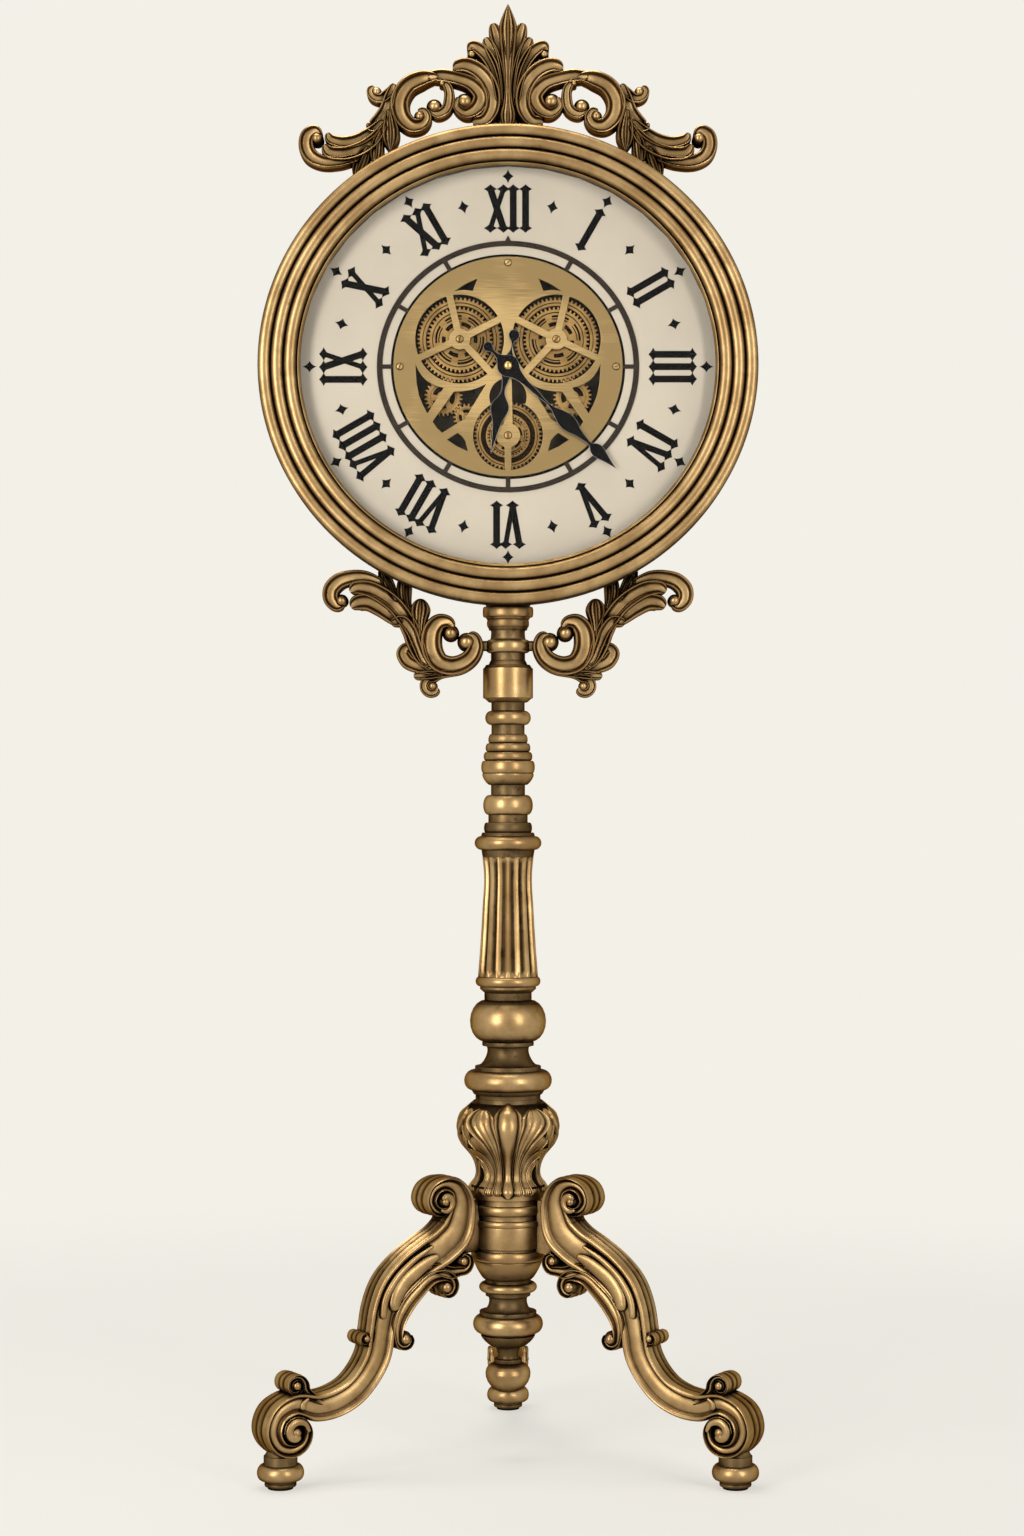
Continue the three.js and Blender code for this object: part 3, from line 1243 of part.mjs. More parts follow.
function smallGear(teeth, phase) {
  const arbor = rod(ARBOR_RADIUS, arborBack, plateBack - SEAT_GAP);
  return joined(prism(gearShape(teeth, GEAR_MODULE, phase, FLAT_TOOTH), gearBase, GEAR_LEVEL), arbor);
}

const lowerPhase = Math.PI / 2;
addPiece(head, 'wheel_lower', wheelGear(LOWER_TEETH, lowerPhase), BRUSHED_BRASS, [...lowerAt, 0]);
for (const [name, side] of Object.entries(sides)) {
  const leftPlaces = [wheelLeftAt, idlerLeftAt, pinionLeftAt];
  const [wheelAt, idlerAt, pinionAt] = leftPlaces.map(([x, y]) => [-side * x, y]);
  const pinionPhase = meshedPhase(LOWER_TEETH, lowerPhase, PINION_TEETH, directionTo(lowerAt, pinionAt));
  const idlerPhase = meshedPhase(PINION_TEETH, pinionPhase, IDLER_TEETH, directionTo(pinionAt, idlerAt));
  const wheelPhase = meshedPhase(IDLER_TEETH, idlerPhase, WHEEL_TEETH, directionTo(idlerAt, wheelAt));
  addPiece(head, `pinion_${name}`, smallGear(PINION_TEETH, pinionPhase), BRUSHED_BRASS, [...pinionAt, 0]);
  addPiece(head, `idler_${name}`, smallGear(IDLER_TEETH, idlerPhase), BRUSHED_BRASS, [...idlerAt, 0]);
  addPiece(head, `wheel_${name}`, wheelGear(WHEEL_TEETH, wheelPhase), BRUSHED_BRASS, [...wheelAt, 0]);
}

// Motor that turns the lower wheel
const motorFront = rearBack - SEAT_GAP;
const motor = turned([
  [arborHole, motorFront],
  [MOTOR_RADIUS, motorFront],
  [MOTOR_RADIUS, motorFront - MOTOR_LENGTH + MOTOR_CHAMFER],
  [MOTOR_RADIUS - MOTOR_CHAMFER, motorFront - MOTOR_LENGTH],
  [0, motorFront - MOTOR_LENGTH],
  [0, motorFront - MOTOR_SHAFT_DEPTH],
  [arborHole, motorFront - MOTOR_SHAFT_DEPTH],
], 2 * SMALL_SIDES);
addPiece(head, 'gear_motor', motor, ZINC_STEEL, [...lowerAt, 0]);

// Battery holder with its cell and its switch
const holderFront = rearBack - SEAT_GAP;
const holderBack = holderFront - HOLDER_DEPTH;
const holderPocketWidth = HOLDER_WIDTH - 2 * HOLDER_WALL - HOLDER_BLOCK;
const holderPocketMiddle = -HOLDER_BLOCK / 2;
const switchAside = HOLDER_WIDTH / 2 - (HOLDER_BLOCK + HOLDER_WALL) / 2;
const switchSlotLength = SWITCH_LENGTH + SWITCH_TRAVEL + 2 * SEAT_GAP;
const holderPocket = block(holderPocketWidth, HOLDER_HEIGHT - 2 * HOLDER_WALL, HOLDER_DEPTH);
const switchSlot = block(SWITCH_WIDTH + 2 * SEAT_GAP, switchSlotLength, 2 * SWITCH_SLOT_DEPTH);
const holder = cut(
  block(HOLDER_WIDTH, HOLDER_HEIGHT, HOLDER_DEPTH).translate(0, 0, (holderFront + holderBack) / 2),
  holderPocket.translate(holderPocketMiddle, 0, (holderFront + holderBack) / 2 - HOLDER_WALL),
  switchSlot.translate(switchAside, 0, holderBack),
);
addPiece(head, 'battery_holder', holder, BLACK_PLASTIC, [0, -HOLDER_DROP, 0]);

function cell() {
  return turned([
    [0, -CELL_LENGTH / 2],
    [CELL_RADIUS, -CELL_LENGTH / 2],
    [CELL_RADIUS, CELL_LENGTH / 2 - CELL_NUB_HEIGHT],
    [CELL_NUB_RADIUS, CELL_LENGTH / 2 - CELL_NUB_HEIGHT],
    [CELL_NUB_RADIUS, CELL_LENGTH / 2],
    [0, CELL_LENGTH / 2],
  ], 2 * SMALL_SIDES).rotateY(Math.PI / 2);
}

const motorCellLevel = holderFront - HOLDER_WALL - SEAT_GAP - CELL_RADIUS;
addPiece(head, 'motor_cell', cell(), BLACK_ENAMEL, [holderPocketMiddle, -HOLDER_DROP, motorCellLevel]);

const switchFoot = block(SWITCH_WIDTH, SWITCH_LENGTH, SWITCH_SLOT_DEPTH - SEAT_GAP);
const switchDepth = SWITCH_RISE + SWITCH_SLOT_DEPTH - SEAT_GAP;
const switchCap = block(SWITCH_WIDTH - SWITCH_STEP, SWITCH_LENGTH - SWITCH_STEP, switchDepth);
const switchBack = holderBack - SWITCH_RISE;
const switchSlider = joined(
  switchFoot.translate(0, 0, holderBack + (SWITCH_SLOT_DEPTH - SEAT_GAP) / 2),
  switchCap.translate(0, 0, (switchBack + holderBack + SWITCH_SLOT_DEPTH - SEAT_GAP) / 2),
);
const switchPlace = [switchAside, -HOLDER_DROP - SWITCH_TRAVEL / 2, 0];
addPiece(head, 'switch_slider', switchSlider, ANTIQUE_BRASS, switchPlace);

// Quartz movement
const movementFront = rearBack - SEAT_GAP;
const movementBack = movementFront - MOVEMENT_DEPTH;
const setGearReach = gearRadius(SET_GEAR_TEETH + MINUTE_WHEEL_TEETH, MOTION_MODULE);
const [setAside, setRise] = bearing(SET_GEAR_BEARING, setGearReach);
const setGearAt = [minuteWheelAt[0] + setAside, minuteWheelAt[1] + setRise];
const movementInside = MOVEMENT_WIDTH - 2 * MOVEMENT_WALL;
const movementMiddle = (movementFront + movementBack) / 2;

function movementHole(radius, [x, y]) {
  const front = movementBack + MOVEMENT_WALL + CUT_OVERSHOOT;
  return rod(radius + SEAT_GAP, movementBack - CUT_OVERSHOOT, front).translate(x, y, 0);
}

const cellWindow = block(CELL_LENGTH + CELL_ROOM, 2 * CELL_RADIUS + SEAT_GAP, 4 * MOVEMENT_WALL);
const movementCase = cut(
  block(MOVEMENT_WIDTH, MOVEMENT_WIDTH, MOVEMENT_DEPTH).translate(0, 0, movementMiddle),
  block(movementInside, movementInside, MOVEMENT_DEPTH).translate(0, 0, movementMiddle + MOVEMENT_WALL),
  cellWindow.translate(0, MOVEMENT_CELL_RISE, movementBack),
  movementHole(MINUTE_ARBOR_RADIUS, [0, 0]),
  movementHole(SMALL_ARBOR_RADIUS, minuteWheelAt),
  movementHole(SMALL_ARBOR_RADIUS, setGearAt),
);
addPiece(head, 'movement_case', movementCase, BLACK_PLASTIC);
const movementCellLevel = movementBack + SEAT_GAP + CELL_RADIUS;
addPiece(head, 'movement_cell', cell(), BLACK_ENAMEL, [0, MOVEMENT_CELL_RISE, movementCellLevel]);

const motionGearTop = MINUTE_WHEEL_LEVEL + MOTION_GEAR_THICKNESS;
const arborEnd = movementBack + MOVEMENT_WALL / 2;
const nutBase = MINUTE_HAND_LEVEL + HAND_THICKNESS + SEAT_GAP;
const nutTop = nutBase + HAND_NUT_HEIGHT;
const minuteArborFront = nutTop - HAND_NUT_CAP;

function motionGear(teeth, gearModule, phase, low, high) {
  return prism(gearShape(teeth, gearModule, phase, POINTED_TOOTH), low, high);
}

const cannonPhase = 0;
const minuteDirection = degrees(MINUTE_WHEEL_BEARING);
const minuteWheelPhase = meshedPhase(CANNON_TEETH, cannonPhase, MINUTE_WHEEL_TEETH, minuteDirection);
const setPhase = meshedPhase(MINUTE_WHEEL_TEETH, minuteWheelPhase, SET_GEAR_TEETH, degrees(SET_GEAR_BEARING));
const hourModule = 2 * minuteWheelReach / (MINUTE_PINION_TEETH + HOUR_WHEEL_TEETH);
const minutePinionPhase = 0;
const hourDirection = minuteDirection + Math.PI;
const hourPhase = meshedPhase(MINUTE_PINION_TEETH, minutePinionPhase, HOUR_WHEEL_TEETH, hourDirection);

const cannonBase = MINUTE_WHEEL_LEVEL - SEAT_GAP;
const cannonTop = motionGearTop + SEAT_GAP;
const minuteArbor = joined(
  rod(MINUTE_ARBOR_RADIUS, arborEnd, minuteArborFront),
  motionGear(CANNON_TEETH, MOTION_MODULE, cannonPhase, cannonBase, cannonTop),
);
addPiece(head, 'minute_arbor', minuteArbor, ZINC_STEEL);

const hourWheelTop = HOUR_WHEEL_LEVEL + MOTION_GEAR_THICKNESS;
const hourTubeBase = HOUR_WHEEL_LEVEL;
const hourTubeTop = HOUR_HAND_LEVEL + HAND_THICKNESS + SEAT_GAP;
const hourWheel = cut(
  joined(
    rod(hourTubeOuter, hourTubeBase, hourTubeTop, 2 * SMALL_SIDES),
    motionGear(HOUR_WHEEL_TEETH, hourModule, hourPhase, HOUR_WHEEL_LEVEL, hourWheelTop),
  ),
  rod(MINUTE_ARBOR_RADIUS + SEAT_GAP, hourTubeBase - CUT_OVERSHOOT, hourTubeTop + CUT_OVERSHOOT),
);
addPiece(head, 'hour_wheel', hourWheel, BRUSHED_BRASS);

const minutePinionTop = movementFront - MOVEMENT_WALL;
const minuteWheel = joined(
  motionGear(MINUTE_WHEEL_TEETH, MOTION_MODULE, minuteWheelPhase, MINUTE_WHEEL_LEVEL, motionGearTop),
  motionGear(MINUTE_PINION_TEETH, hourModule, minutePinionPhase, motionGearTop - SEAT_GAP, minutePinionTop),
  rod(SMALL_ARBOR_RADIUS, arborEnd, rearFront - PLATE_THICKNESS / 2),
);
addPiece(head, 'minute_wheel', minuteWheel, BRUSHED_BRASS, [...minuteWheelAt, 0]);

const knobFront = movementBack - SEAT_GAP;
const setKnob = joined(
  motionGear(SET_GEAR_TEETH, MOTION_MODULE, setPhase, MINUTE_WHEEL_LEVEL, motionGearTop),
  rod(SMALL_ARBOR_RADIUS, knobFront - SET_KNOB_HEIGHT / 2, motionGearTop),
  rod(SET_KNOB_RADIUS, knobFront - SET_KNOB_HEIGHT, knobFront, 2 * SMALL_SIDES),
);
addPiece(head, 'set_knob', setKnob, BLACK_PLASTIC, [...setGearAt, 0]);

// Hands
function handHalf({ length, tail, ball, hub, stem, leaf, leafAt, leafEnd }) {
  const tailStart = Math.sqrt(hub ** 2 - (stem / 2) ** 2);
  return [
    [0, -tail - ball],
    [ball * Math.SQRT1_2, -tail - ball * Math.SQRT1_2],
    [ball, -tail],
    [ball * Math.SQRT1_2, -tail + ball * Math.SQRT1_2],
    [stem / 2, -tail + ball],
    [stem / 2, -tailStart],
    [hub * Math.SQRT1_2, -hub * Math.SQRT1_2],
    [hub, 0],
    [hub * Math.SQRT1_2, hub * Math.SQRT1_2],
    [stem / 2, hub * HAND_NECK_SHARE],
    [stem / 2, leafAt * HAND_LEAF_START],
    [leaf / 2, leafAt],
    [leaf * HAND_LEAF_TAPER, leafEnd],
    [0, length],
  ];
}

function handSolid(half, bore, level, hour) {
  const other = mirrorPoints(half.slice(1, -1));
  const blade = prism(polygon([...half, ...other]), level, level + HAND_THICKNESS);
  const hole = rod(bore, level - CUT_OVERSHOOT, level + HAND_THICKNESS + CUT_OVERSHOOT);
  return cut(blade, hole).rotateZ(-2 * Math.PI * hour / 12);
}

const minuteHalf = handHalf(MINUTE_HAND);
minuteHalf.splice(
  -1,
  0,
  [MINUTE_TIP_DIAMOND.neck / 2, MINUTE_TIP_DIAMOND.start],
  [MINUTE_TIP_DIAMOND.width / 2, MINUTE_TIP_DIAMOND.at],
  [MINUTE_TIP_DIAMOND.tip / 2, MINUTE_TIP_DIAMOND.end],
);
const shownMinute = 12 * (SHOWN_HOUR % 1);
const hourBore = hourTubeOuter + SEAT_GAP;
const minuteBore = MINUTE_ARBOR_RADIUS + SEAT_GAP;
const hourHand = handSolid(handHalf(HOUR_HAND), hourBore, HOUR_HAND_LEVEL, SHOWN_HOUR);
addPiece(head, 'hour_hand', hourHand, BLACK_ENAMEL);
const minuteHand = handSolid(minuteHalf, minuteBore, MINUTE_HAND_LEVEL, shownMinute);
addPiece(head, 'minute_hand', minuteHand, BLACK_ENAMEL);
const handNut = turned([
  [minuteBore, nutBase],
  [HAND_NUT_RADIUS, nutBase],
  [HAND_NUT_RADIUS, nutBase + HAND_NUT_HEIGHT * HAND_NUT_SHOULDER],
  [HAND_NUT_RADIUS * HAND_NUT_CROWN, nutTop - HAND_NUT_CAP / 3],
  [0, nutTop],
  [0, minuteArborFront + SEAT_GAP],
  [minuteBore, minuteArborFront + SEAT_GAP],
], SMALL_SIDES);
addPiece(head, 'hand_nut', handNut, BRUSHED_BRASS);

// The model's box is centred over the origin
const model = new THREE.Group();
model.add(clock);
model.updateMatrixWorld(true);
const middle = new THREE.Box3().setFromObject(model, true).getCenter(new THREE.Vector3());
clock.position.set(-middle.x, -middle.y, 0);
model.updateMatrixWorld(true);

export default model;
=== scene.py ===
# Floor clock: the looks of a glazed dial with a moving gear display on a turned and cast brass stand.
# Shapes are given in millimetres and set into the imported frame, which is in metres.
import math

import bpy
import numpy as np
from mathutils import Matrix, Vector


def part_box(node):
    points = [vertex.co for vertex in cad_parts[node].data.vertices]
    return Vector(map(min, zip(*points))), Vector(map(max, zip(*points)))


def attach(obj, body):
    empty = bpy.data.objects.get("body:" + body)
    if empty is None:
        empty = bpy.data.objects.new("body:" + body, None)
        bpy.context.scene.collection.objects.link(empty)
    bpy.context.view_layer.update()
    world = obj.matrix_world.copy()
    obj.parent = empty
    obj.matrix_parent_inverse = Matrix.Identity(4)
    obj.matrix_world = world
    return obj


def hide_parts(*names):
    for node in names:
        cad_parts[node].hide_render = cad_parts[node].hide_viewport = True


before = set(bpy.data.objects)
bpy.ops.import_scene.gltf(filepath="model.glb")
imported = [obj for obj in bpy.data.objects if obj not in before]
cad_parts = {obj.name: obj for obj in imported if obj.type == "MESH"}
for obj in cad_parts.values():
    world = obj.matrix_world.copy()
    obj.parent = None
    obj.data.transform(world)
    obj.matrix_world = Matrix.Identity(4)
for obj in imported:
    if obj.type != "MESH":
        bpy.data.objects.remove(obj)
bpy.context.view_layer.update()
scene = bpy.context.scene
MM = 0.001


# Places of the main parts, read from the frame
def base_of(node):
    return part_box(node)[0].z / MM


vase_low, vase_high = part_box("vase")
dial_low, dial_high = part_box("dial_plate")
COLUMN_Y = (vase_low.y + vase_high.y) / 2 / MM
DIAL_Y = dial_low.y / MM
HEAD_Z = (dial_low.z + dial_high.z) / 2 / MM
LEG_Z = base_of("leg_left")
NECK_RING_RISE = 22.5
NECK_RING_Z = base_of("neck") + NECK_RING_RISE
LEG_ANGLES = {"left": -150, "right": -30, "rear": 90}

# The bezel, the glass, the dial, the gear plate and the case are a little wider than they are high
HEAD_WIDTH = 1.042
BEZEL_RADIUS = 285

# Colours, linear
BRASS_LIGHT = (0.470, 0.318, 0.150)
BRASS_MID = (0.300, 0.187, 0.080)
BRASS_DARK = (0.016, 0.0092, 0.0046)
BRASS_EDGE = (0.22, 0.16, 0.10)
GEAR_LIGHT = (0.49, 0.306, 0.119)
GEAR_MID = (0.25, 0.148, 0.054)
PLATE_LIGHT = (0.68, 0.478, 0.222)
PLATE_DARK = (0.34, 0.235, 0.105)
BRIGHT_BRASS = (0.62, 0.42, 0.17)
CREAM = (0.70, 0.63, 0.54)
INK = (0.006, 0.006, 0.0065)
RING_BROWN = (0.036, 0.027, 0.021)
BRONZE = (0.090, 0.068, 0.050)
BACKING = (0.042, 0.032, 0.022)
PLASTIC = (0.018, 0.018, 0.019)
STEEL = (0.42, 0.42, 0.43)
WRAP = (0.03, 0.03, 0.033)
GLASS_TINT = (0.985, 0.985, 0.975)
BACKGROUND = (0.896, 0.871, 0.807)
FLOOR = (0.91, 0.905, 0.885)
WORLD_TINT = (1.0, 0.98, 0.94)
LAMP_TINT = (1.0, 0.97, 0.92)

# Angles between faces above which an edge stays sharp
TURNED_EDGE, CARVED_EDGE, PLATE_EDGE = 38, 48, 30


# Shapes: points in millimetres, faces, and how deep the dark patina and painted shade lie at each point
class Shape:
    def __init__(self):
        self.points = []
        self.faces = []
        self.patina_and_shade = []
        self.count = 0

    def add(self, points, faces, patina_and_shade=None):
        points = np.asarray(points, float).reshape(-1, 3)
        self.points.append(points)
        self.faces += [tuple(int(index) + self.count for index in face) for face in faces]
        self.patina_and_shade.append(np.zeros(len(points)) if patina_and_shade is None else np.asarray(patina_and_shade, float).ravel())
        self.count += len(points)

    def add_shape(self, other, change=None, flip=False):
        points = np.vstack(other.points)
        faces = [face[::-1] for face in other.faces] if flip else other.faces
        self.add(points if change is None else change(points), faces, np.concatenate(other.patina_and_shade))


def changed(shape, change, flip=False):
    other = Shape()
    other.add_shape(shape, change, flip)
    return other


def moved(shape, x, y):
    return changed(shape, lambda points: points + [x, y, 0])


def sideways(points):
    return points * [-1, 1, 1]


def widened(points):
    return points * [HEAD_WIDTH, 1, 1]


def mirrored(shape):
    both = changed(shape, None)
    both.add_shape(shape, sideways, flip=True)
    return both


def tube_faces(rows, columns):
    faces = []
    for row in range(rows - 1):
        low, high = row * columns, (row + 1) * columns
        for column in range(columns):
            following = (column + 1) % columns
            faces.append((low + column, low + following, high + following, high + column))
    return faces


def capped_faces(rows, columns):
    last = (rows - 1) * columns
    caps = [tuple(range(columns))[::-1], tuple(range(last, last + columns))]
    return tube_faces(rows, columns) + caps


def on_column(points):
    return (points + [0, COLUMN_Y, 0]) * MM


def on_head(points):
    return np.stack([points[:, 0], DIAL_Y - points[:, 2], HEAD_Z + points[:, 1]], 1) * MM


def on_leg(angle):
    turn = math.radians(angle)
    outward = np.array([math.cos(turn), math.sin(turn)])
    aside = np.array([-math.sin(turn), math.cos(turn)])

    def place(points):
        flat = points[:, :1] * outward + points[:, 2:] * aside
        return on_column(np.column_stack([flat, points[:, 1] + LEG_Z]))

    return place


def piece(name, shape, place, material, body, replaces=(), sharp=TURNED_EDGE):
    mesh = bpy.data.meshes.new(name)
    points = place(np.vstack(shape.points))
    mesh.from_pydata(points.tolist(), [], shape.faces)
    mesh.validate()
    patina_and_shade = np.concatenate(shape.patina_and_shade)
    if len(mesh.vertices) == len(patina_and_shade):
        attribute = mesh.attributes.new("patina_and_shade", "FLOAT", "POINT")
        attribute.data.foreach_set("value", patina_and_shade.astype(np.float32))
    mesh.shade_smooth()
    mesh.set_sharp_from_angle(angle=math.radians(sharp))
    mesh.materials.append(material)
    thing = bpy.data.objects.new(name, mesh)
    scene.collection.objects.link(thing)
    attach(thing, body)
    if replaces:
        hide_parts(*replaces)


def casting(name, shape, place, node, sharp=TURNED_EDGE):
    piece(name, shape, place, brass, "stand_and_case", [node], sharp)


def head_piece(name, shape, material, slot, *nodes, sharp=TURNED_EDGE):
    piece(name, shape, on_head, material, "stand_and_case", nodes, sharp)


# Turned forms: profiles of radius and height
EASED_TURN, EASED_SHARE = 18, 0.4


def lathe(profile, sides, patina_and_shade=None):
    profile = np.asarray(profile, float)
    turns = np.linspace(0, 2 * math.pi, sides, endpoint=False)
    radius, height = profile[:, :1], profile[:, 1:2]
    level = np.repeat(height, sides, 1)
    points = np.stack([radius * np.cos(turns), radius * np.sin(turns), level], -1)
    marks = None if patina_and_shade is None else np.repeat(np.asarray(patina_and_shade, float)[:, None], sides, 1)
    shape = Shape()
    shape.add(points, capped_faces(len(profile), sides), marks)
    return shape


def ring(profile, sides, marks=None):
    whole = lathe(profile, sides, marks)
    whole.faces = whole.faces[:-2]
    return whole


def eased(profile, size=0.8):
    points = [np.asarray(point, float) for point in profile]
    result = [points[0]]
    for before, corner, after in zip(points, points[1:], points[2:]):
        back, ahead = before - corner, after - corner
        back_length, ahead_length = np.linalg.norm(back), np.linalg.norm(ahead)
        if min(back_length, ahead_length) < 1e-6:
            continue
        turn = math.degrees(math.acos(np.clip(-back @ ahead / back_length / ahead_length, -1, 1)))
        if turn < EASED_TURN:
            result.append(corner)
            continue
        start = corner + back * min(size / back_length, EASED_SHARE)
        end = corner + ahead * min(size / ahead_length, EASED_SHARE)
        result += [start, (start + 2 * corner + end) / 4, end]
    result.append(points[-1])
    return np.array(result)


# Rows of a turned piece, from the bottom up: height, radius below, radius above, swell of the middle
def moulded(rows, base, steps=10):
    outline = []
    level = base
    for height, below, above, *swell in rows:
        bulge = swell[0] if swell else 0
        count = steps if bulge else 1
        for step in range(count + 1):
            turn = math.pi * step / count
            share = (1 - math.cos(turn)) / 2
            radius = below + (above - below) * share + bulge * math.sin(turn)
            outline.append((radius, level + height * share))
        level += height
    return outline


# Patina and painted shade gather where a profile lies below the widest place near it, darkening coves and
# the tops and feet of bulges
HOLLOW_REACH, HOLLOW_DEPTH, HOLLOW_PATINA_AND_SHADE = 16, 7.5, 0.7


def patina_and_shade_in_hollows(profile):
    marks = []
    for radius, height in profile:
        near = profile[np.abs(profile[:, 1] - height) < HOLLOW_REACH, 0]
        marks.append(HOLLOW_PATINA_AND_SHADE * min(1, (near.max() - radius) / HOLLOW_DEPTH))
    return marks


def turned(rows, base, sides=96):
    profile = eased(moulded(rows, base))
    return lathe(profile, sides, patina_and_shade_in_hollows(profile))


# Swept strokes: rows of x, y and width along a path, with a section across it
def smooth_rows(rows, steps=20):
    rows = np.asarray(rows, float)
    chord = np.r_[0, np.cumsum(np.linalg.norm(np.diff(rows[:, :2], axis=0), axis=1))]
    slopes = np.gradient(rows, chord, axis=0)
    share = np.linspace(0, 1, steps, endpoint=False)[:, None]
    parts = []
    for start in range(len(rows) - 1):
        span = chord[start + 1] - chord[start]
        parts.append(
            (2 * share**3 - 3 * share**2 + 1) * rows[start]
            + (share**3 - 2 * share**2 + share) * span * slopes[start]
            + (3 * share**2 - 2 * share**3) * rows[start + 1]
            + (share**3 - share**2) * span * slopes[start + 1]
        )
    parts.append(rows[-1:])
    return np.vstack(parts)


# Rows round an eye: angle, radius and what else a row holds
def curl(eye, turns):
    rows = []
    for angle, radius, *rest in turns:
        turn = math.radians(angle)
        rows.append((eye[0] + radius * math.cos(turn), eye[1] + radius * math.sin(turn), *rest))
    return rows


def swept_path(rows, samples):
    dense = smooth_rows(rows)
    along = np.r_[0, np.cumsum(np.linalg.norm(np.diff(dense[:, :2], axis=0), axis=1))]
    places = along[-1] * (1 - np.cos(np.linspace(0, math.pi, samples))) / 2
    places = 0.5 * places + 0.5 * np.linspace(0, along[-1], samples)
    path = np.column_stack([np.interp(places, along, dense[:, column]) for column in range(dense.shape[1])])
    tangent = np.gradient(path[:, :2], places, axis=0)
    tangent /= np.linalg.norm(tangent, axis=1)[:, None]
    normal = np.column_stack([-tangent[:, 1], tangent[:, 0]])
    return path, normal, places


def sweep(shape, path, normal, half, loop, level_at):
    points = np.zeros((len(path), len(loop), 3))
    marks = np.zeros((len(path), len(loop)))
    for index, (across, rise, mark) in enumerate(loop):
        points[:, index, :2] = path[:, :2] + normal * (across * half)[:, None]
        points[:, index, 2] = level_at(rise)
        marks[:, index] = mark
    shape.add(points, capped_faces(len(path), len(loop)), marks)


def mirrored_section(half):
    return half + [(-across, rise, mark) for across, rise, mark in reversed(half) if across != 0]


# Sections: place across, height, patina and painted shade, darkest on the flanks and in the grooves
SCROLL = mirrored_section([
    (-1.00, 0.05, 0.75), (-0.99, 0.40, 0.55), (-0.96, 0.66, 0.35), (-0.91, 0.86, 0.10), (-0.84, 0.97, 0.0),
    (-0.76, 1.00, 0.0), (-0.68, 0.97, 0.0), (-0.61, 0.87, 0.25), (-0.55, 0.75, 0.75), (-0.46, 0.66, 0.75),
    (-0.28, 0.62, 0.35), (0.00, 0.61, 0.2),
])
LEAF = mirrored_section([
    (-1.00, 0.05, 0.75), (-0.98, 0.45, 0.50), (-0.95, 0.74, 0.25), (-0.89, 0.93, 0.0), (-0.80, 1.00, 0.0),
    (-0.70, 0.95, 0.1), (-0.62, 0.80, 0.75), (-0.50, 0.70, 0.70), (-0.34, 0.74, 0.25), (-0.22, 0.76, 0.35),
    (-0.15, 0.84, 0.2), (-0.08, 0.96, 0.0), (0.00, 1.00, 0.0),
])
ROUND = mirrored_section([
    (-1.00, 0.05, 0.75), (-0.98, 0.40, 0.55), (-0.90, 0.62, 0.4), (-0.74, 0.82, 0.2), (-0.50, 0.94, 0.05),
    (-0.25, 0.99, 0.0), (0.00, 1.00, 0.0),
])
FAN = mirrored_section([
    (-1.00, 0.00, 0.95), (-0.97, 0.55, 0.7), (-0.92, 0.93, 0.1), (-0.84, 1.00, 0.0), (-0.75, 0.88, 0.35),
    (-0.66, 0.66, 0.85), (-0.52, 0.76, 0.15), (-0.38, 0.83, 0.0), (-0.25, 0.74, 0.45), (-0.12, 0.84, 0.05),
    (0.00, 0.88, 0.0),
])
TONGUE = mirrored_section([
    (-1.00, 0.05, 1.0), (-0.97, 0.50, 0.8), (-0.90, 0.80, 0.2), (-0.82, 0.86, 0.0), (-0.74, 0.74, 0.6),
    (-0.66, 0.62, 1.0), (-0.56, 0.74, 0.4), (-0.38, 0.90, 0.05), (-0.18, 0.98, 0.0), (0.00, 1.00, 0.0),
])

# Each back lies a little behind the last one, so that no two share a plane
BACK_STEP = 0.08
# Patina and painted shade at the foot of each stroke, where it meets its ground
BACK_PATINA_AND_SHADE = 0.25
LEAST_WIDTH, LEAST_HALF, LEAST_RISE = 0.3, 0.6, 0.05
TIP_SHARE, TIP_DROP = 0.0025, 0.8
BLUNT_ENDS = (0, 0)


def stroke(shape, rows, section, back, front, samples, relief=1.7, ends=(1, 1)):
    path, normal, places = swept_path(rows, samples)
    half = np.maximum(path[:, 2], LEAST_WIDTH) / 2
    crown = np.full(samples, front, float)
    back = back - BACK_STEP * len(shape.points)
    for distance, rounding in ((places, ends[0]), (places[-1] - places, ends[1])):
        if rounding:
            share = np.clip(distance / (half * rounding), 0, 1)
            shrink = np.sqrt(np.maximum(1 - (1 - share) ** 2, TIP_SHARE))
            crown = crown - (1 - shrink) * half * TIP_DROP
            half = half * shrink
    deep = np.minimum(relief * np.maximum(half, LEAST_HALF), front - back)

    def level_at(rise):
        return back if rise is None else np.maximum(crown - (1 - rise) * deep, back + LEAST_RISE)

    loop = [(-1, None, BACK_PATINA_AND_SHADE)] + section + [(1, None, BACK_PATINA_AND_SHADE)]
    sweep(shape, path, normal, half, loop, level_at)


# A round boss on a skirt darkened with painted shade, the boss itself shaded towards its foot
BALL_STEPS, BALL_SIDES, BALL_NECK, SKIRT_DROP = 9, 28, 1.08, 1.5


def ball(shape, at, radius, back, front, skirt=1.25):
    back = back - BACK_STEP * len(shape.points)
    wide = radius * skirt
    profile = [(wide, back), (wide, front - SKIRT_DROP * radius), (radius * BALL_NECK, front - radius)]
    marks = [0.3, 0.75, 0.75]
    for step in range(BALL_STEPS):
        turn = math.radians(10 * step + 8)
        profile.append((radius * math.cos(turn), front - radius + radius * math.sin(turn)))
        marks.append(max(0.0, 0.5 - step / 6))
    shape.add_shape(moved(lathe(profile, BALL_SIDES, marks), *at))


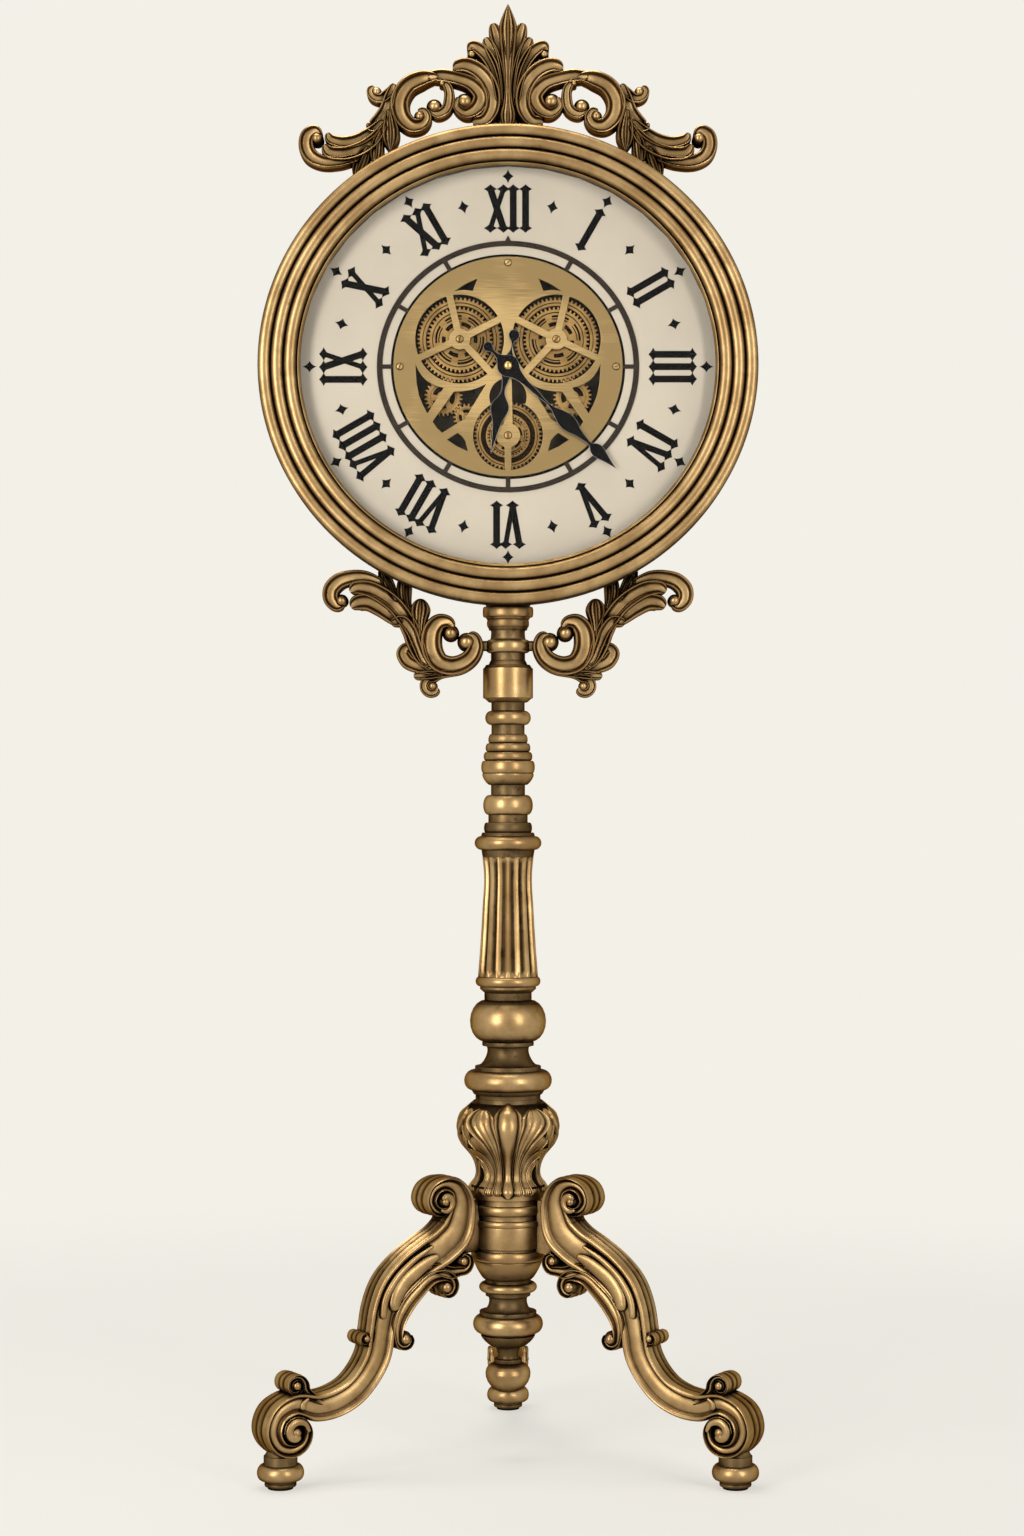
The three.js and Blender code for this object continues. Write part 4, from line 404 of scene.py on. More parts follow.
# Flat cut plates with small bevels
def plate(outlines, low, high, bevel=0.2, grow=0.0, mark=0.0):
    curve = bpy.data.curves.new("outline", "CURVE")
    curve.dimensions = "2D"
    curve.fill_mode = "BOTH"
    for outline in outlines:
        count = len(outline)
        spline = curve.splines.new("POLY")
        spline.points.add(count - 1)
        spline.points.foreach_set("co", np.column_stack([outline, np.zeros(count), np.ones(count)]).ravel())
        spline.use_cyclic_u = True
    curve.extrude = (high - low) / 2 - bevel
    curve.bevel_depth = bevel
    curve.bevel_resolution = 1
    curve.offset = grow - bevel
    holder = bpy.data.objects.new("outline", curve)
    scene.collection.objects.link(holder)
    bpy.context.view_layer.update()
    solid = holder.evaluated_get(bpy.context.evaluated_depsgraph_get())
    mesh = bpy.data.meshes.new_from_object(solid)
    points = np.zeros(len(mesh.vertices) * 3)
    mesh.vertices.foreach_get("co", points)
    placed = points.reshape(-1, 3) + [0, 0, (low + high) / 2]
    shape = Shape()
    shape.add(placed, [tuple(face.vertices) for face in mesh.polygons], np.full(len(placed), mark))
    bpy.data.objects.remove(holder)
    bpy.data.curves.remove(curve)
    bpy.data.meshes.remove(mesh)
    return shape


def circle(at, radius, count):
    turns = np.linspace(0, 2 * math.pi, count, endpoint=False)
    return np.column_stack([at[0] + radius * np.cos(turns), at[1] + radius * np.sin(turns)])


def arc(at, radius, start, end, count):
    turns = np.radians(np.linspace(start, end, count))
    return np.column_stack([at[0] + radius * np.cos(turns), at[1] + radius * np.sin(turns)])


def stem(start, end, width):
    start, end = np.array(start, float), np.array(end, float)
    along = (end - start) / np.linalg.norm(end - start)
    aside = np.array([-along[1], along[0]]) * width / 2
    return np.array([start + aside, start - aside, end - aside, end + aside])


def rounded_box(low, high, radius):
    left, foot, right, top = low[0] + radius, low[1] + radius, high[0] - radius, high[1] - radius
    corners = ((right, top), (left, top), (left, foot), (right, foot))
    return np.vstack([arc(at, radius, 90 * turn, 90 * turn + 90, 6) for turn, at in enumerate(corners)])


# Materials
def give(tree, socket, value):
    if isinstance(value, bpy.types.NodeSocket):
        tree.links.new(value, socket)
    elif isinstance(value, tuple) and len(value) == 3 and len(socket.default_value) == 4:
        socket.default_value = (*value, 1)
    else:
        socket.default_value = value


# Inputs are given by name, or by number as i0, i1 and so on
def add(tree, kind, settings=None, **inputs):
    made = tree.nodes.new("ShaderNode" + kind)
    for name, value in (settings or {}).items():
        setattr(made, name, value)
    for name, value in inputs.items():
        numbered = name[0] == "i" and name[1:].isdigit()
        give(tree, made.inputs[int(name[1:]) if numbered else name], value)
    return made


def new_material(name):
    material = bpy.data.materials.new(name)
    material.use_nodes = True
    tree = material.node_tree
    tree.nodes.clear()
    shader = add(tree, "BsdfPrincipled")
    add(tree, "OutputMaterial", i0=shader.outputs[0])
    return material, tree, shader


def resurface(tree, shader):
    tree.links.new(shader.outputs[0], tree.nodes["Material Output"].inputs[0])


def noise(tree, scale, detail, roughness=0.5, stretch=(1, 1, 1)):
    place = add(tree, "TexCoord").outputs["Object"]
    fitted = add(tree, "Mapping", Vector=place, Scale=stretch).outputs[0]
    return add(tree, "TexNoise", Vector=fitted, Scale=scale, Detail=detail, Roughness=roughness).outputs[0]


def ramp(tree, value, low, high):
    return add(tree, "MapRange", {"interpolation_type": "SMOOTHSTEP"}, i0=value, i1=low, i2=high).outputs[0]


def blend(tree, share, first, second):
    return add(tree, "Mix", {"data_type": "RGBA"}, i0=share, i6=first, i7=second).outputs[2]


def maths(tree, operation, *values):
    made = add(tree, "Math", {"operation": operation})
    for socket, value in zip(made.inputs, values):
        give(tree, socket, value)
    return made.outputs[0]


def bump(tree, height, strength, distance):
    return add(tree, "Bump", Strength=strength, Distance=distance, Height=height).outputs[0]


# Painted shade: a mask that grows where ambient occlusion finds surfaces close by
def hollows(tree, reach, open_share, closed_share):
    seen = add(tree, "AmbientOcclusion", {"samples": 8}, Distance=reach).outputs["AO"]
    return ramp(tree, seen, open_share, closed_share)


# Reads each point's mark of patina and painted shade
def patina_and_shade_mark(tree):
    return add(tree, "Attribute", {"attribute_name": "patina_and_shade"}).outputs["Fac"]


def make_brass(tree, shader, colour, roughness, normal):
    shader.inputs["Metallic"].default_value = 1.0
    shader.inputs["Specular Tint"].default_value = (*BRASS_EDGE, 1)
    give(tree, shader.inputs["Base Color"], colour)
    give(tree, shader.inputs["Roughness"], roughness)
    give(tree, shader.inputs["Normal"], normal)


# Dark patina and painted shade lie in hollows, near ones and wide ones found by ambient occlusion, and where
# a shape is marked; faint stains are real patina
NEAR_OPEN, NEAR_CLOSED = 0.92, 0.32
WIDE_OPEN, WIDE_CLOSED, WIDE_SHARE = 0.90, 0.25, 0.62
MARK_SHARE, STAIN_SHARE = 0.9, 0.22


def antique_brass_painted_shade(name, light, mid, roughness=0.33, near=0.008, far=0.035):
    material, tree, shader = new_material(name)
    mottle = ramp(tree, noise(tree, 22, 4, 0.6), 0.35, 0.70)
    grain = noise(tree, 420, 3, 0.6)
    wide = maths(tree, "MULTIPLY", hollows(tree, far, WIDE_OPEN, WIDE_CLOSED), WIDE_SHARE)
    crevice = maths(tree, "MAXIMUM", hollows(tree, near, NEAR_OPEN, NEAR_CLOSED), wide)
    stained = maths(tree, "MULTIPLY", ramp(tree, noise(tree, 60, 5, 0.65), 0.5, 0.78), STAIN_SHARE)
    deepest = maths(tree, "MAXIMUM", crevice, maths(tree, "MULTIPLY", patina_and_shade_mark(tree), MARK_SHARE))
    shade = maths(tree, "ADD", deepest, stained)
    metal = blend(tree, mottle, mid, light)
    colour = blend(tree, ramp(tree, shade, 0.05, 0.95), metal, BRASS_DARK)
    varied = maths(tree, "MULTIPLY_ADD", grain, 0.16, roughness - 0.08)
    dulled = maths(tree, "MULTIPLY_ADD", shade, 0.2, varied)
    make_brass(tree, shader, colour, dulled, bump(tree, grain, 0.08, 0.0005))
    return material


# Fine lines from side to side, clouded, with painted shade making it darker towards the rim of the piece
def brushed_brass(name, light, dark, stretch):
    material, tree, shader = new_material(name)
    lines = noise(tree, 60, 4, 0.6, stretch)
    cloud = ramp(tree, noise(tree, 14, 3), 0.3, 0.7)
    streaks = maths(tree, "MULTIPLY", ramp(tree, lines, 0.3, 0.7), 0.5)
    share = maths(tree, "MULTIPLY_ADD", cloud, 0.5, streaks)
    place = add(tree, "TexCoord").outputs["Generated"]
    centred = {"operation": "MULTIPLY_ADD"}
    middle = add(tree, "VectorMath", centred, i0=place, i1=(1, 0, 1), i2=(-0.5, 0, -0.5)).outputs[0]
    rim = add(tree, "VectorMath", {"operation": "LENGTH"}, i0=middle).outputs["Value"]
    # Painted shade: the colour darkens towards the rim
    varied = maths(tree, "MULTIPLY_ADD", ramp(tree, rim, 0.2, 0.5), -0.6, share)
    shade = maths(tree, "MAXIMUM", hollows(tree, 0.002, 0.7, 0.2), patina_and_shade_mark(tree))
    colour = blend(tree, shade, blend(tree, varied, dark, light), BRASS_DARK)
    sheen = maths(tree, "MULTIPLY_ADD", lines, 0.2, 0.28)
    make_brass(tree, shader, colour, sheen, bump(tree, lines, 0.12, 0.0004))
    return material


def painted(name, colour, roughness, spread, scale, metallic=0.0, specular=0.5):
    material, tree, shader = new_material(name)
    cloud = ramp(tree, noise(tree, scale, 4, 0.55), 0.3, 0.7)
    fine = noise(tree, 500, 2)
    lower = tuple(channel * (1 - spread) for channel in colour)
    upper = tuple(min(1.0, channel * (1 + spread)) for channel in colour)
    give(tree, shader.inputs["Base Color"], blend(tree, cloud, lower, upper))
    shader.inputs["Metallic"].default_value = metallic
    shader.inputs["Specular IOR Level"].default_value = specular
    give(tree, shader.inputs["Roughness"], maths(tree, "MULTIPLY_ADD", fine, 0.15, roughness - 0.07))
    give(tree, shader.inputs["Normal"], bump(tree, fine, 0.08, 0.0004))
    return material


brass = antique_brass_painted_shade("antique_brass_painted_shade", BRASS_LIGHT, BRASS_MID)
gear_brass = antique_brass_painted_shade("gear_brass", GEAR_LIGHT, GEAR_MID, 0.34, 0.003, 0.008)
plate_brass = brushed_brass("brushed_brass", PLATE_LIGHT, PLATE_DARK, (0.5, 1, 14))
cream = painted("cream_enamel", CREAM, 0.55, 0.035, 9, specular=0.2)
ink = painted("printed_ink", INK, 0.7, 0.25, 80, specular=0.02)
black = painted("black_enamel", INK, 0.4, 0.25, 60, specular=0.03)
ring_paint = painted("dark_ring", RING_BROWN, 0.6, 0.2, 60, specular=0.1)
bronze = painted("dark_bronze", BRONZE, 0.42, 0.13, 60, 0.7)
backing = painted("gear_backing", BACKING, 0.5, 0.4, 40, specular=0.2)
bright_brass = painted("bright_brass", BRIGHT_BRASS, 0.24, 0.1, 60, 1.0)
plastic = painted("black_plastic", PLASTIC, 0.5, 0.2, 120)
steel = painted("zinc_steel", STEEL, 0.35, 0.15, 70, 1.0)
wrap = painted("cell_wrap", WRAP, 0.3, 0.2, 90)

# Column
FOOT_ROWS = [
    (3, 14.5, 15.5), (4.5, 17.5, 17.5, 1), (2.5, 18.5, 20), (18, 21.5, 20.5, 6.2), (10, 19.5, 19.5),
    (5.5, 18.5, 15.5),
]
PENDANT_ROWS = [
    (35, 6, 15, 16), (5, 16.8, 16.8), (15, 14, 17, -3), (14, 19, 32, 3), (2, 30, 30), (21.6, 33, 33, 9),
    (5, 34.2, 34.2), (18, 30, 26, -5), (4.5, 27, 27), (12, 28, 28, 6.8), (4, 27.5, 27.5), (23, 29, 41, 2),
]
HUB_ROWS = [
    (12, 42, 42, 2.5), (3.6, 40, 40), (26, 43, 43), (7.5, 42.6, 42.6, 2), (6, 40, 40), (12, 40.5, 40.5, 3.5),
    (7, 40, 40),
]
VASE_ROWS = [
    (3, 44, 48.6), (9.6, 48.6, 48.6), (3, 48.6, 44), (8, 40, 34.5), (10, 34.5, 34.5, -1),
    (22, 34.5, 44.5, -2.5), (28, 44.5, 56.5, 3.5), (30, 56.5, 42, 5.5), (5, 39, 39),
]
KNOP_ROWS = [
    (4.5, 39, 39), (5, 41, 44), (24, 43, 42, 10.2), (5, 39.6, 39.6), (24, 37, 28, -6.4), (5, 31, 31),
    (50, 28, 27, 18.2), (9, 28.4, 28.4), (4, 29, 33.6),
]
SHAFT_RING_ROWS = [(3, 33.6, 33.6), (12, 34, 34, 5)]
POST_ROWS = [
    (4, 30.6, 31), (4, 31, 32), (17, 31.5, 31.5, 8.7), (4, 32.4, 31), (12, 27, 26.4, 2.2), (9, 23.6, 23.6),
    (24, 23.5, 23, 6.6), (12, 20.4, 20.4), (14, 22, 30, 3), (15, 29.6, 29.6, 2.6), (10.5, 26.6, 26.4, 2.8),
    (10.5, 24.4, 24, 2.7), (11, 21.8, 20.6, 2.4), (11, 19.9, 19.9), (17, 20.6, 20.6, 6.8), (10, 20, 20),
    (5, 23, 28.6), (36, 30, 30), (4, 29, 26.4),
]
NECK_ROWS = [
    (5, 23.4, 21), (9, 20.5, 20.5), (16, 22.5, 22.5, 4.8), (11, 21.6, 20.8, -0.8), (4, 22.6, 24),
    (9, 24.4, 24.4, 0.9), (3, 25.5, 27), (12, 29.2, 29.2, 1.2),
]
for node, rows in (("pendant", PENDANT_ROWS), ("hub", HUB_ROWS), ("knop", KNOP_ROWS),
                   ("upper_post", POST_ROWS), ("neck", NECK_ROWS)):
    casting(node + "_turning", turned(rows, base_of(node)), on_column, node)

# Fluted shaft: heights and radii of the fluted length
FLUTE_COUNT, FLUTE_POINTS = 16, 12
FLUTE_LENGTH = 143
FLUTE_DEPTH = 3.4
FLUTE_END = 7
FLUTE_EDGE = 0.62
# Patina and painted shade in the flutes
FLUTE_PATINA_AND_SHADE = 0.9
FLUTE_PROFILE = [(0, 36.0), (40, 33.0), (80, 30.6), (122, 28.8), (FLUTE_LENGTH, 30.6)]
shaft_base = base_of("fluted_shaft")
shaft = turned(SHAFT_RING_ROWS, shaft_base)
flute_base = shaft_base + sum(row[0] for row in SHAFT_RING_ROWS)
flute_rows = smooth_rows(FLUTE_PROFILE, 14)
flute_turns = np.linspace(0, 2 * math.pi, FLUTE_COUNT * FLUTE_POINTS, endpoint=False)
flute_cut = np.clip(FLUTE_EDGE - np.cos(flute_turns * FLUTE_COUNT), 0, None) / (1 + FLUTE_EDGE)
flute_points, flute_marks = [], []
for height, radius in flute_rows:
    fade = np.clip(min(height, FLUTE_LENGTH - height) / FLUTE_END, 0, 1)
    reach = radius - FLUTE_DEPTH * math.sqrt(1 - (1 - fade) ** 2) * np.sqrt(flute_cut)
    level = np.full(len(flute_turns), flute_base + height)
    flute_points.append(np.column_stack([reach * np.cos(flute_turns), reach * np.sin(flute_turns), level]))
    flute_marks.append(FLUTE_PATINA_AND_SHADE * np.clip(flute_cut * 1.5 - 0.2, 0, 1) * fade)
shaft.add(np.array(flute_points), tube_faces(len(flute_rows), len(flute_turns)), np.array(flute_marks))
casting("fluted_shaft_turning", shaft, on_column, "fluted_shaft")

# Vase with acanthus leaves, which lie on its smoothed profile
LEAF_ZONE = (14, 113)
# Patina and painted shade on the vase between the leaves
LEAF_GROUND_PATINA_AND_SHADE = 0.95
LEAF_WRAP_RADIUS = 40
LEAF_BACK = -6
SMOOTHED_LEVELS = 13
vase_base = base_of("vase")
vase_profile = eased(moulded(VASE_ROWS, vase_base, 14))
vase_marks = patina_and_shade_in_hollows(vase_profile)
for row, (radius, height) in enumerate(vase_profile):
    if LEAF_ZONE[0] < height - vase_base < LEAF_ZONE[1]:
        vase_marks[row] = LEAF_GROUND_PATINA_AND_SHADE
vase = lathe(vase_profile, 120, vase_marks)
vase_order = np.argsort(vase_profile[:, 1], kind="stable")
vase_levels = np.arange(vase_base, vase_base + sum(row[0] for row in VASE_ROWS), 1.0)
vase_exact = np.interp(vase_levels, vase_profile[vase_order, 1], vase_profile[vase_order, 0])
vase_padded = np.pad(vase_exact, SMOOTHED_LEVELS // 2, mode="edge")
vase_smooth = np.convolve(vase_padded, np.full(SMOOTHED_LEVELS, 1 / SMOOTHED_LEVELS), mode="valid")


def on_vase(start):
    def change(points):
        height = points[:, 1]
        turn = math.radians(start) + points[:, 0] / LEAF_WRAP_RADIUS
        reach = np.interp(height, vase_levels, vase_smooth) + points[:, 2]
        return np.column_stack([reach * np.cos(turn), reach * np.sin(turn), height])

    return change


LEAF_TONGUE = [
    (0, 317.5, 9), (0, 323, 22), (0, 331, 18), (0, 345, 14), (0, 365, 16), (0, 390, 21), (0, 410, 25.5),
    (0, 422, 23), (0, 431, 8),
]
# Lobes of the left half: height of the crown, samples, relief, rows
LEAF_LOBES = (
    (5.4, 72, 0.8, [(-11.5, 321, 12), (-11.5, 332, 9), (-11.6, 345, 8.5), (-12.4, 361, 10), (-15.5, 385, 17),
                    (-20, 397, 23), (-24.5, 408, 29), (-26, 418, 28), (-26, 426, 20)]),
    (3.2, 50, 0.7, [(-17.5, 340, 8), (-20, 358, 9), (-25.5, 371, 13), (-31.5, 382, 15), (-37, 391.5, 15)]),
    (3.6, 60, 0.7, [(-23, 320, 14), (-21.8, 333, 10), (-22, 345, 9), (-25, 356, 11), (-31, 365, 13),
                    (-38, 370, 14), (-44, 372, 10)]),
    (2.6, 44, 0.7, [(-35, 320, 14), (-31, 333, 10), (-31, 345, 9), (-35, 355, 9), (-41, 360, 8)]),
    (2.2, 40, 0.7, [(-40, 385, 8), (-42, 400, 12), (-42, 414, 11), (-41, 424, 6)]),
)
leaf = Shape()
stroke(leaf, LEAF_TONGUE, TONGUE, LEAF_BACK, 5.5, 80, 1.0)
half_leaf = Shape()
for front, samples, relief, rows in LEAF_LOBES:
    stroke(half_leaf, rows, FAN, LEAF_BACK, front, samples, relief)
leaf.add_shape(mirrored(half_leaf))
for start in (-90, 30, 150):
    vase.add_shape(leaf, on_vase(start))
casting("vase_turning", vase, on_column, "vase")

# Feet
for side in LEG_ANGLES:
    node = "foot_" + side
    low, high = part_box(node)
    foot = moved(turned(FOOT_ROWS, 0, 64), (low.x + high.x) / 2 / MM, (low.y + high.y) / 2 / MM - COLUMN_Y)
    casting(node + "_turning", foot, on_column, node)

# Legs: a band that curls at both ends, with reeded edges and panelled faces
# Each point: across, through the band's depth, and patina and painted shade, darkest in the grooves and at
# the edges
LEG_FACE = [
    (1.00, 0.80, 0.35), (0.99, 0.92, 0.1), (0.93, 0.99, 0.0), (0.84, 1.00, 0.0), (0.75, 0.97, 0.0),
    (0.68, 0.88, 0.3), (0.62, 0.79, 0.65), (0.54, 0.74, 0.65), (0.47, 0.77, 0.45), (0.34, 0.81, 0.2),
    (0.12, 0.84, 0.08), (-0.12, 0.84, 0.08), (-0.34, 0.81, 0.2), (-0.46, 0.77, 0.45), (-0.53, 0.74, 0.65),
    (-0.61, 0.77, 0.65), (-0.68, 0.87, 0.3), (-0.75, 0.97, 0.0), (-0.86, 1.00, 0.0), (-0.97, 0.94, 0.1),
    (-1.00, 0.80, 0.4),
]
LEG_EDGE = [(1.13, 0.56, 0.1), (1.02, 0.30, 0.9), (1.14, 0.00, 0.1), (1.02, -0.30, 0.9), (1.13, -0.56, 0.1)]
LEG_LOOP = (
    LEG_FACE
    + [(-across, aside, mark) for across, aside, mark in LEG_EDGE]
    + [(across, -aside, mark) for across, aside, mark in reversed(LEG_FACE)]
    + LEG_EDGE[::-1]
)
# Eyes of the curls, as reach from the column and height
TOP_EYE, FOOT_EYE, HEEL_EYE, TIP_EYE = (97, 280), (292.5, 28.5), (289, 81), (198.5, 127)
HIGH_SCROLL_EYE, LOW_SCROLL_EYE, HUB_SCROLL_EYE = (92.6, 178), (147.5, 122), (69, 207)
# Rows of reach, height, width and depth, or round an eye of angle, radius, width and depth
MAIN_BAND = curl(TOP_EYE, [
    (-225, 8, 5, 45), (-180, 9, 6, 45), (-135, 10, 8, 45), (-90, 12, 10, 45), (-45, 15, 11, 45),
    (0, 18, 11.5, 45), (45, 19, 12.5, 45), (90, 20, 14, 45), (135, 22.5, 21, 44), (180, 25.2, 29, 42),
]) + [
    (73, 261, 38, 39), (78.5, 243, 44, 37), (94.5, 228, 44, 36), (118, 215, 43, 36), (141.5, 200.5, 41, 36),
    (161.5, 181.5, 38, 36), (172.5, 157.5, 36, 36), (178, 132, 34, 36), (183, 105.5, 33, 36),
    (196, 83.5, 32, 36), (214, 66, 32, 36), (236, 56, 32, 37), (258, 53, 30, 39),
] + curl(FOOT_EYE, [
    (90, 31, 23, 43), (45, 29, 20.5, 45), (0, 26.8, 19.2, 45), (-45, 24, 16.5, 45), (-90, 20.8, 15, 45),
    (-135, 18.5, 12, 45), (-180, 16.5, 10, 45), (-225, 15.5, 8, 45), (-270, 14.8, 7, 45), (-315, 14, 6, 45),
    (-360, 13, 5, 45),
])
HEEL_BAND = [(255, 59, 7, 36), (268, 66, 9, 37)] + curl(HEEL_EYE, [
    (205, 13.5, 9, 38), (170, 11, 8, 38), (125, 10, 7, 38), (80, 9.5, 6.5, 38), (35, 9.5, 6.5, 38),
    (-10, 9, 6, 38), (-55, 8.5, 5.5, 38), (-100, 7.5, 5, 38), (-145, 6.5, 4, 38),
])
TIP_BAND = [(187, 152, 6, 33), (190, 141, 7, 34)] + curl(TIP_EYE, [
    (160, 8, 6, 36), (205, 7, 5.5, 36), (250, 7, 5, 36), (300, 7, 5, 36), (350, 6.8, 5, 36),
    (400, 6, 4.5, 36), (450, 5, 4, 36),
])
SCROLL_BAND = curl(HIGH_SCROLL_EYE, [
    (-45, 7, 5, 38), (-90, 8.8, 7, 38), (-135, 10, 8.5, 38), (-180, 11, 9.5, 38), (-225, 12, 10.5, 38),
    (-265, 13.5, 12.5, 38),
]) + [
    (110, 191.5, 15, 39), (131, 176.5, 18, 39), (148, 158, 19, 39), (157.5, 139, 16, 39),
] + curl(LOW_SCROLL_EYE, [
    (15, 10.8, 11, 39), (-30, 9.8, 9, 38), (-75, 9.3, 8, 38), (-120, 8.8, 7, 38), (-165, 7.8, 6, 38),
    (-210, 6.6, 5, 38),
])
HUB_BAND = [(120, 203, 10, 34), (102, 200, 15, 35), (85, 195, 15, 35)] + curl(HUB_SCROLL_EYE, [
    (-65, 12.5, 12, 35), (-110, 11, 10, 35), (-160, 9.8, 8, 35), (-205, 8.8, 7, 35), (-250, 7.5, 5.5, 35),
    (-295, 6, 4, 35),
])
# Strokes on each face: back, front, samples, relief, rows
FACE_STROKES = (
    (6, 21, 60, 0.85, [(104, 217, 5), (115, 212, 13), (131, 202.5, 18), (149, 189, 20), (160, 173, 18),
                       (164, 156, 13)]),
    (8, 20.5, 60, 1.1, [(112, 229, 3), (141, 211.5, 7), (163, 191, 8.5), (175, 170, 9), (178, 148, 8.5)]),
    (8, 20, 30, 1.0, [(275, 66, 3), (281, 60, 7), (282, 52, 9)]),
    (4, 25.5, 60, 0.9, curl(TOP_EYE, [
        (-50, 12.2, 3), (-95, 10.8, 6), (-145, 9.4, 8), (-195, 7.8, 9), (-245, 6.0, 9.5), (-295, 4.2, 9.5),
        (-345, 2.6, 9),
    ])),
    (4, 26.5, 70, 0.9, curl(FOOT_EYE, [
        (-180, 15.5, 4), (-225, 14.2, 6.5), (-270, 12.4, 8.5), (-315, 10.6, 9.5), (-360, 8.8, 10.5),
        (-410, 6.8, 11), (-460, 4.6, 11), (-510, 2.6, 10),
    ])),
)
FACE_BALLS = (
    (TOP_EYE, 5.5, 26), (FOOT_EYE, 6.5, 27), (HEEL_EYE, 5.2, 21), (TIP_EYE, 4.2, 19.5),
    (HIGH_SCROLL_EYE, 6.6, 22), (LOW_SCROLL_EYE, 6.2, 22), (HUB_SCROLL_EYE, 5, 20),
)
BALL_BACK, BALL_SKIRT = 4, 1.5
TENON_ROWS = [(42, 245, 62), (78, 243, 62)]


def leg_band(shape, rows, samples):
    path, normal = swept_path(rows, samples)[:2]
    sweep(shape, path, normal, path[:, 2] / 2, LEG_LOOP, lambda aside: aside * path[:, 3] / 2)


leg = Shape()
for rows, samples in ((MAIN_BAND, 260), (HEEL_BAND, 70), (TIP_BAND, 60), (SCROLL_BAND, 110), (HUB_BAND, 70)):
    leg_band(leg, rows, samples)
face = Shape()
for back, front, samples, relief, rows in FACE_STROKES:
    stroke(face, rows, ROUND, back, front, samples, relief)
for eye, radius, front in FACE_BALLS:
    ball(face, eye, radius, BALL_BACK, front, BALL_SKIRT)
leg.add_shape(face)
leg.add_shape(face, lambda points: points * [1, 1, -1], flip=True)
tenon = Shape()
stroke(tenon, TENON_ROWS, ROUND, -5, 5, 12, 0.3, BLUNT_ENDS)
leg.add_shape(tenon)
for side, angle in LEG_ANGLES.items():
    casting("leg_" + side + "_casting", leg, on_leg(angle), "leg_" + side, CARVED_EDGE)

# Ornaments of the head: each stroke by the depth of its crown, its samples and its rows
ORNAMENT_BACK = -29
ONE_ROUND_END = (1, 0)


def scroll(shape, front, samples, rows):
    stroke(shape, rows, SCROLL, ORNAMENT_BACK, front, samples)


def leaf_stroke(shape, front, samples, rows, ends=(1, 1)):
    stroke(shape, rows, LEAF, ORNAMENT_BACK, front, samples, ends=ends)


def bead(shape, at, radius, front):
    ball(shape, at, radius, ORNAMENT_BACK, front)


# Crest: the left half, measured from the middle of the bezel's top edge
half = Shape()
scroll(half, -5, 110, [
    (-96, 60, 12), (-81.4, 61.5, 17), (-62.6, 59.3, 18), (-41.5, 51.6, 20), (-32, 38.8, 22),
    (-37.5, 25.1, 20), (-51.5, 18, 14.5), (-62, 26, 9), (-59, 36.5, 6),
])
bead(half, (-51.5, 32), 8.6, -2)
scroll(half, -4, 120, [
    (-84, 60, 9), (-101.8, 58, 21), (-120, 49, 24), (-129.5, 31.9, 25), (-125, 10.6, 23), (-113.4, 1.4, 20),
    (-101.5, 4, 16), (-97, 12.4, 12), (-101.3, 19.5, 8), (-108, 18, 6),
])
bead(half, (-105.5, 13), 5.6, -3)
scroll(half, -5, 70, [
    (-81, 57, 6), (-72, 48.2, 11), (-70.2, 34.5, 13.5), (-74.5, 20.8, 13.5), (-84.7, 15.7, 12),
    (-94.1, 21.7, 7),
])
bead(half, (-88.2, 25.1), 7.6, -3)
bead(half, (-79, 52), 2.8, -4)
scroll(half, -3, 100, [
    (-66, 71, 13), (-52.3, 75, 19), (-37, 70, 21), (-24, 56.7, 21), (-18, 39.6, 20), (-19.5, 22.6, 19),
    (-28.4, 10, 16), (-42, 7.5, 11),
])
scroll(half, -4, 80, [
    (-47.5, 93, 6), (-43.5, 98, 12), (-32, 93.5, 17), (-20.5, 78.9, 16), (-13.6, 56.7, 12),
    (-10.5, 32.8, 8),
])
bead(half, (-43.4, 88.3), 4.2, -3)
scroll(half, -4, 70, [(-27.5, 109, 11), (-20.5, 96, 15.5), (-12, 75.5, 12.5), (-7, 49.9, 9), (-5.6, 26, 7)])
scroll(half, -4, 70, [
    (-18.5, 126.5, 11), (-14, 112, 17), (-8, 89.1, 13.5), (-4.2, 56.7, 9), (-3.4, 29.4, 7),
])
scroll(half, -6, 70, [
    (-134, 51, 9), (-142.8, 41, 13), (-153, 34, 12.5), (-162, 36.4, 10.5), (-164.5, 43, 9), (-160, 48, 7),
])
bead(half, (-157.3, 42.2), 5, -5)
scroll(half, -5, 80, [
    (-136, 52, 8), (-141.9, 34.5, 15), (-146.2, 20.8, 17), (-154.7, 7.2, 18), (-165, -0.5, 12),
    (-169, 2.6, 4),
])
scroll(half, -5, 80, [
    (-149, 8, 8), (-165, -8.2, 15), (-183.7, -19, 16), (-202.5, -21.5, 15), (-212.8, -18, 13),
    (-216, -11.5, 8),
])
scroll(half, -4, 80, [
    (-147, 4, 8), (-159.9, -15, 16), (-178.6, -29, 18), (-199.1, -35.5, 18), (-214.4, -33.8, 16),
    (-220, -26, 10),
])
scroll(half, -5, 100, [
    (-178, -38, 10), (-204.2, -45.5, 14), (-223, -45.5, 17), (-237, -37, 19), (-241.4, -25.2, 19),
    (-238.5, -13.4, 18), (-231, -9.5, 15), (-224, -15.8, 10),
])
bead(half, (-228.5, -18), 6.4, -3)
leaf_stroke(half, -3, 70, [
    (-142.8, 21, 6), (-141.1, 5.5, 17), (-140.2, -6.5, 22), (-140.2, -18.4, 17), (-140.2, -29, 2),
], ONE_ROUND_END)
leaf_stroke(half, -5, 60, [
    (-151.3, -4.8, 5), (-155.6, -18.4, 15), (-157.3, -32, 17), (-158.5, -49, 3),
], ONE_ROUND_END)
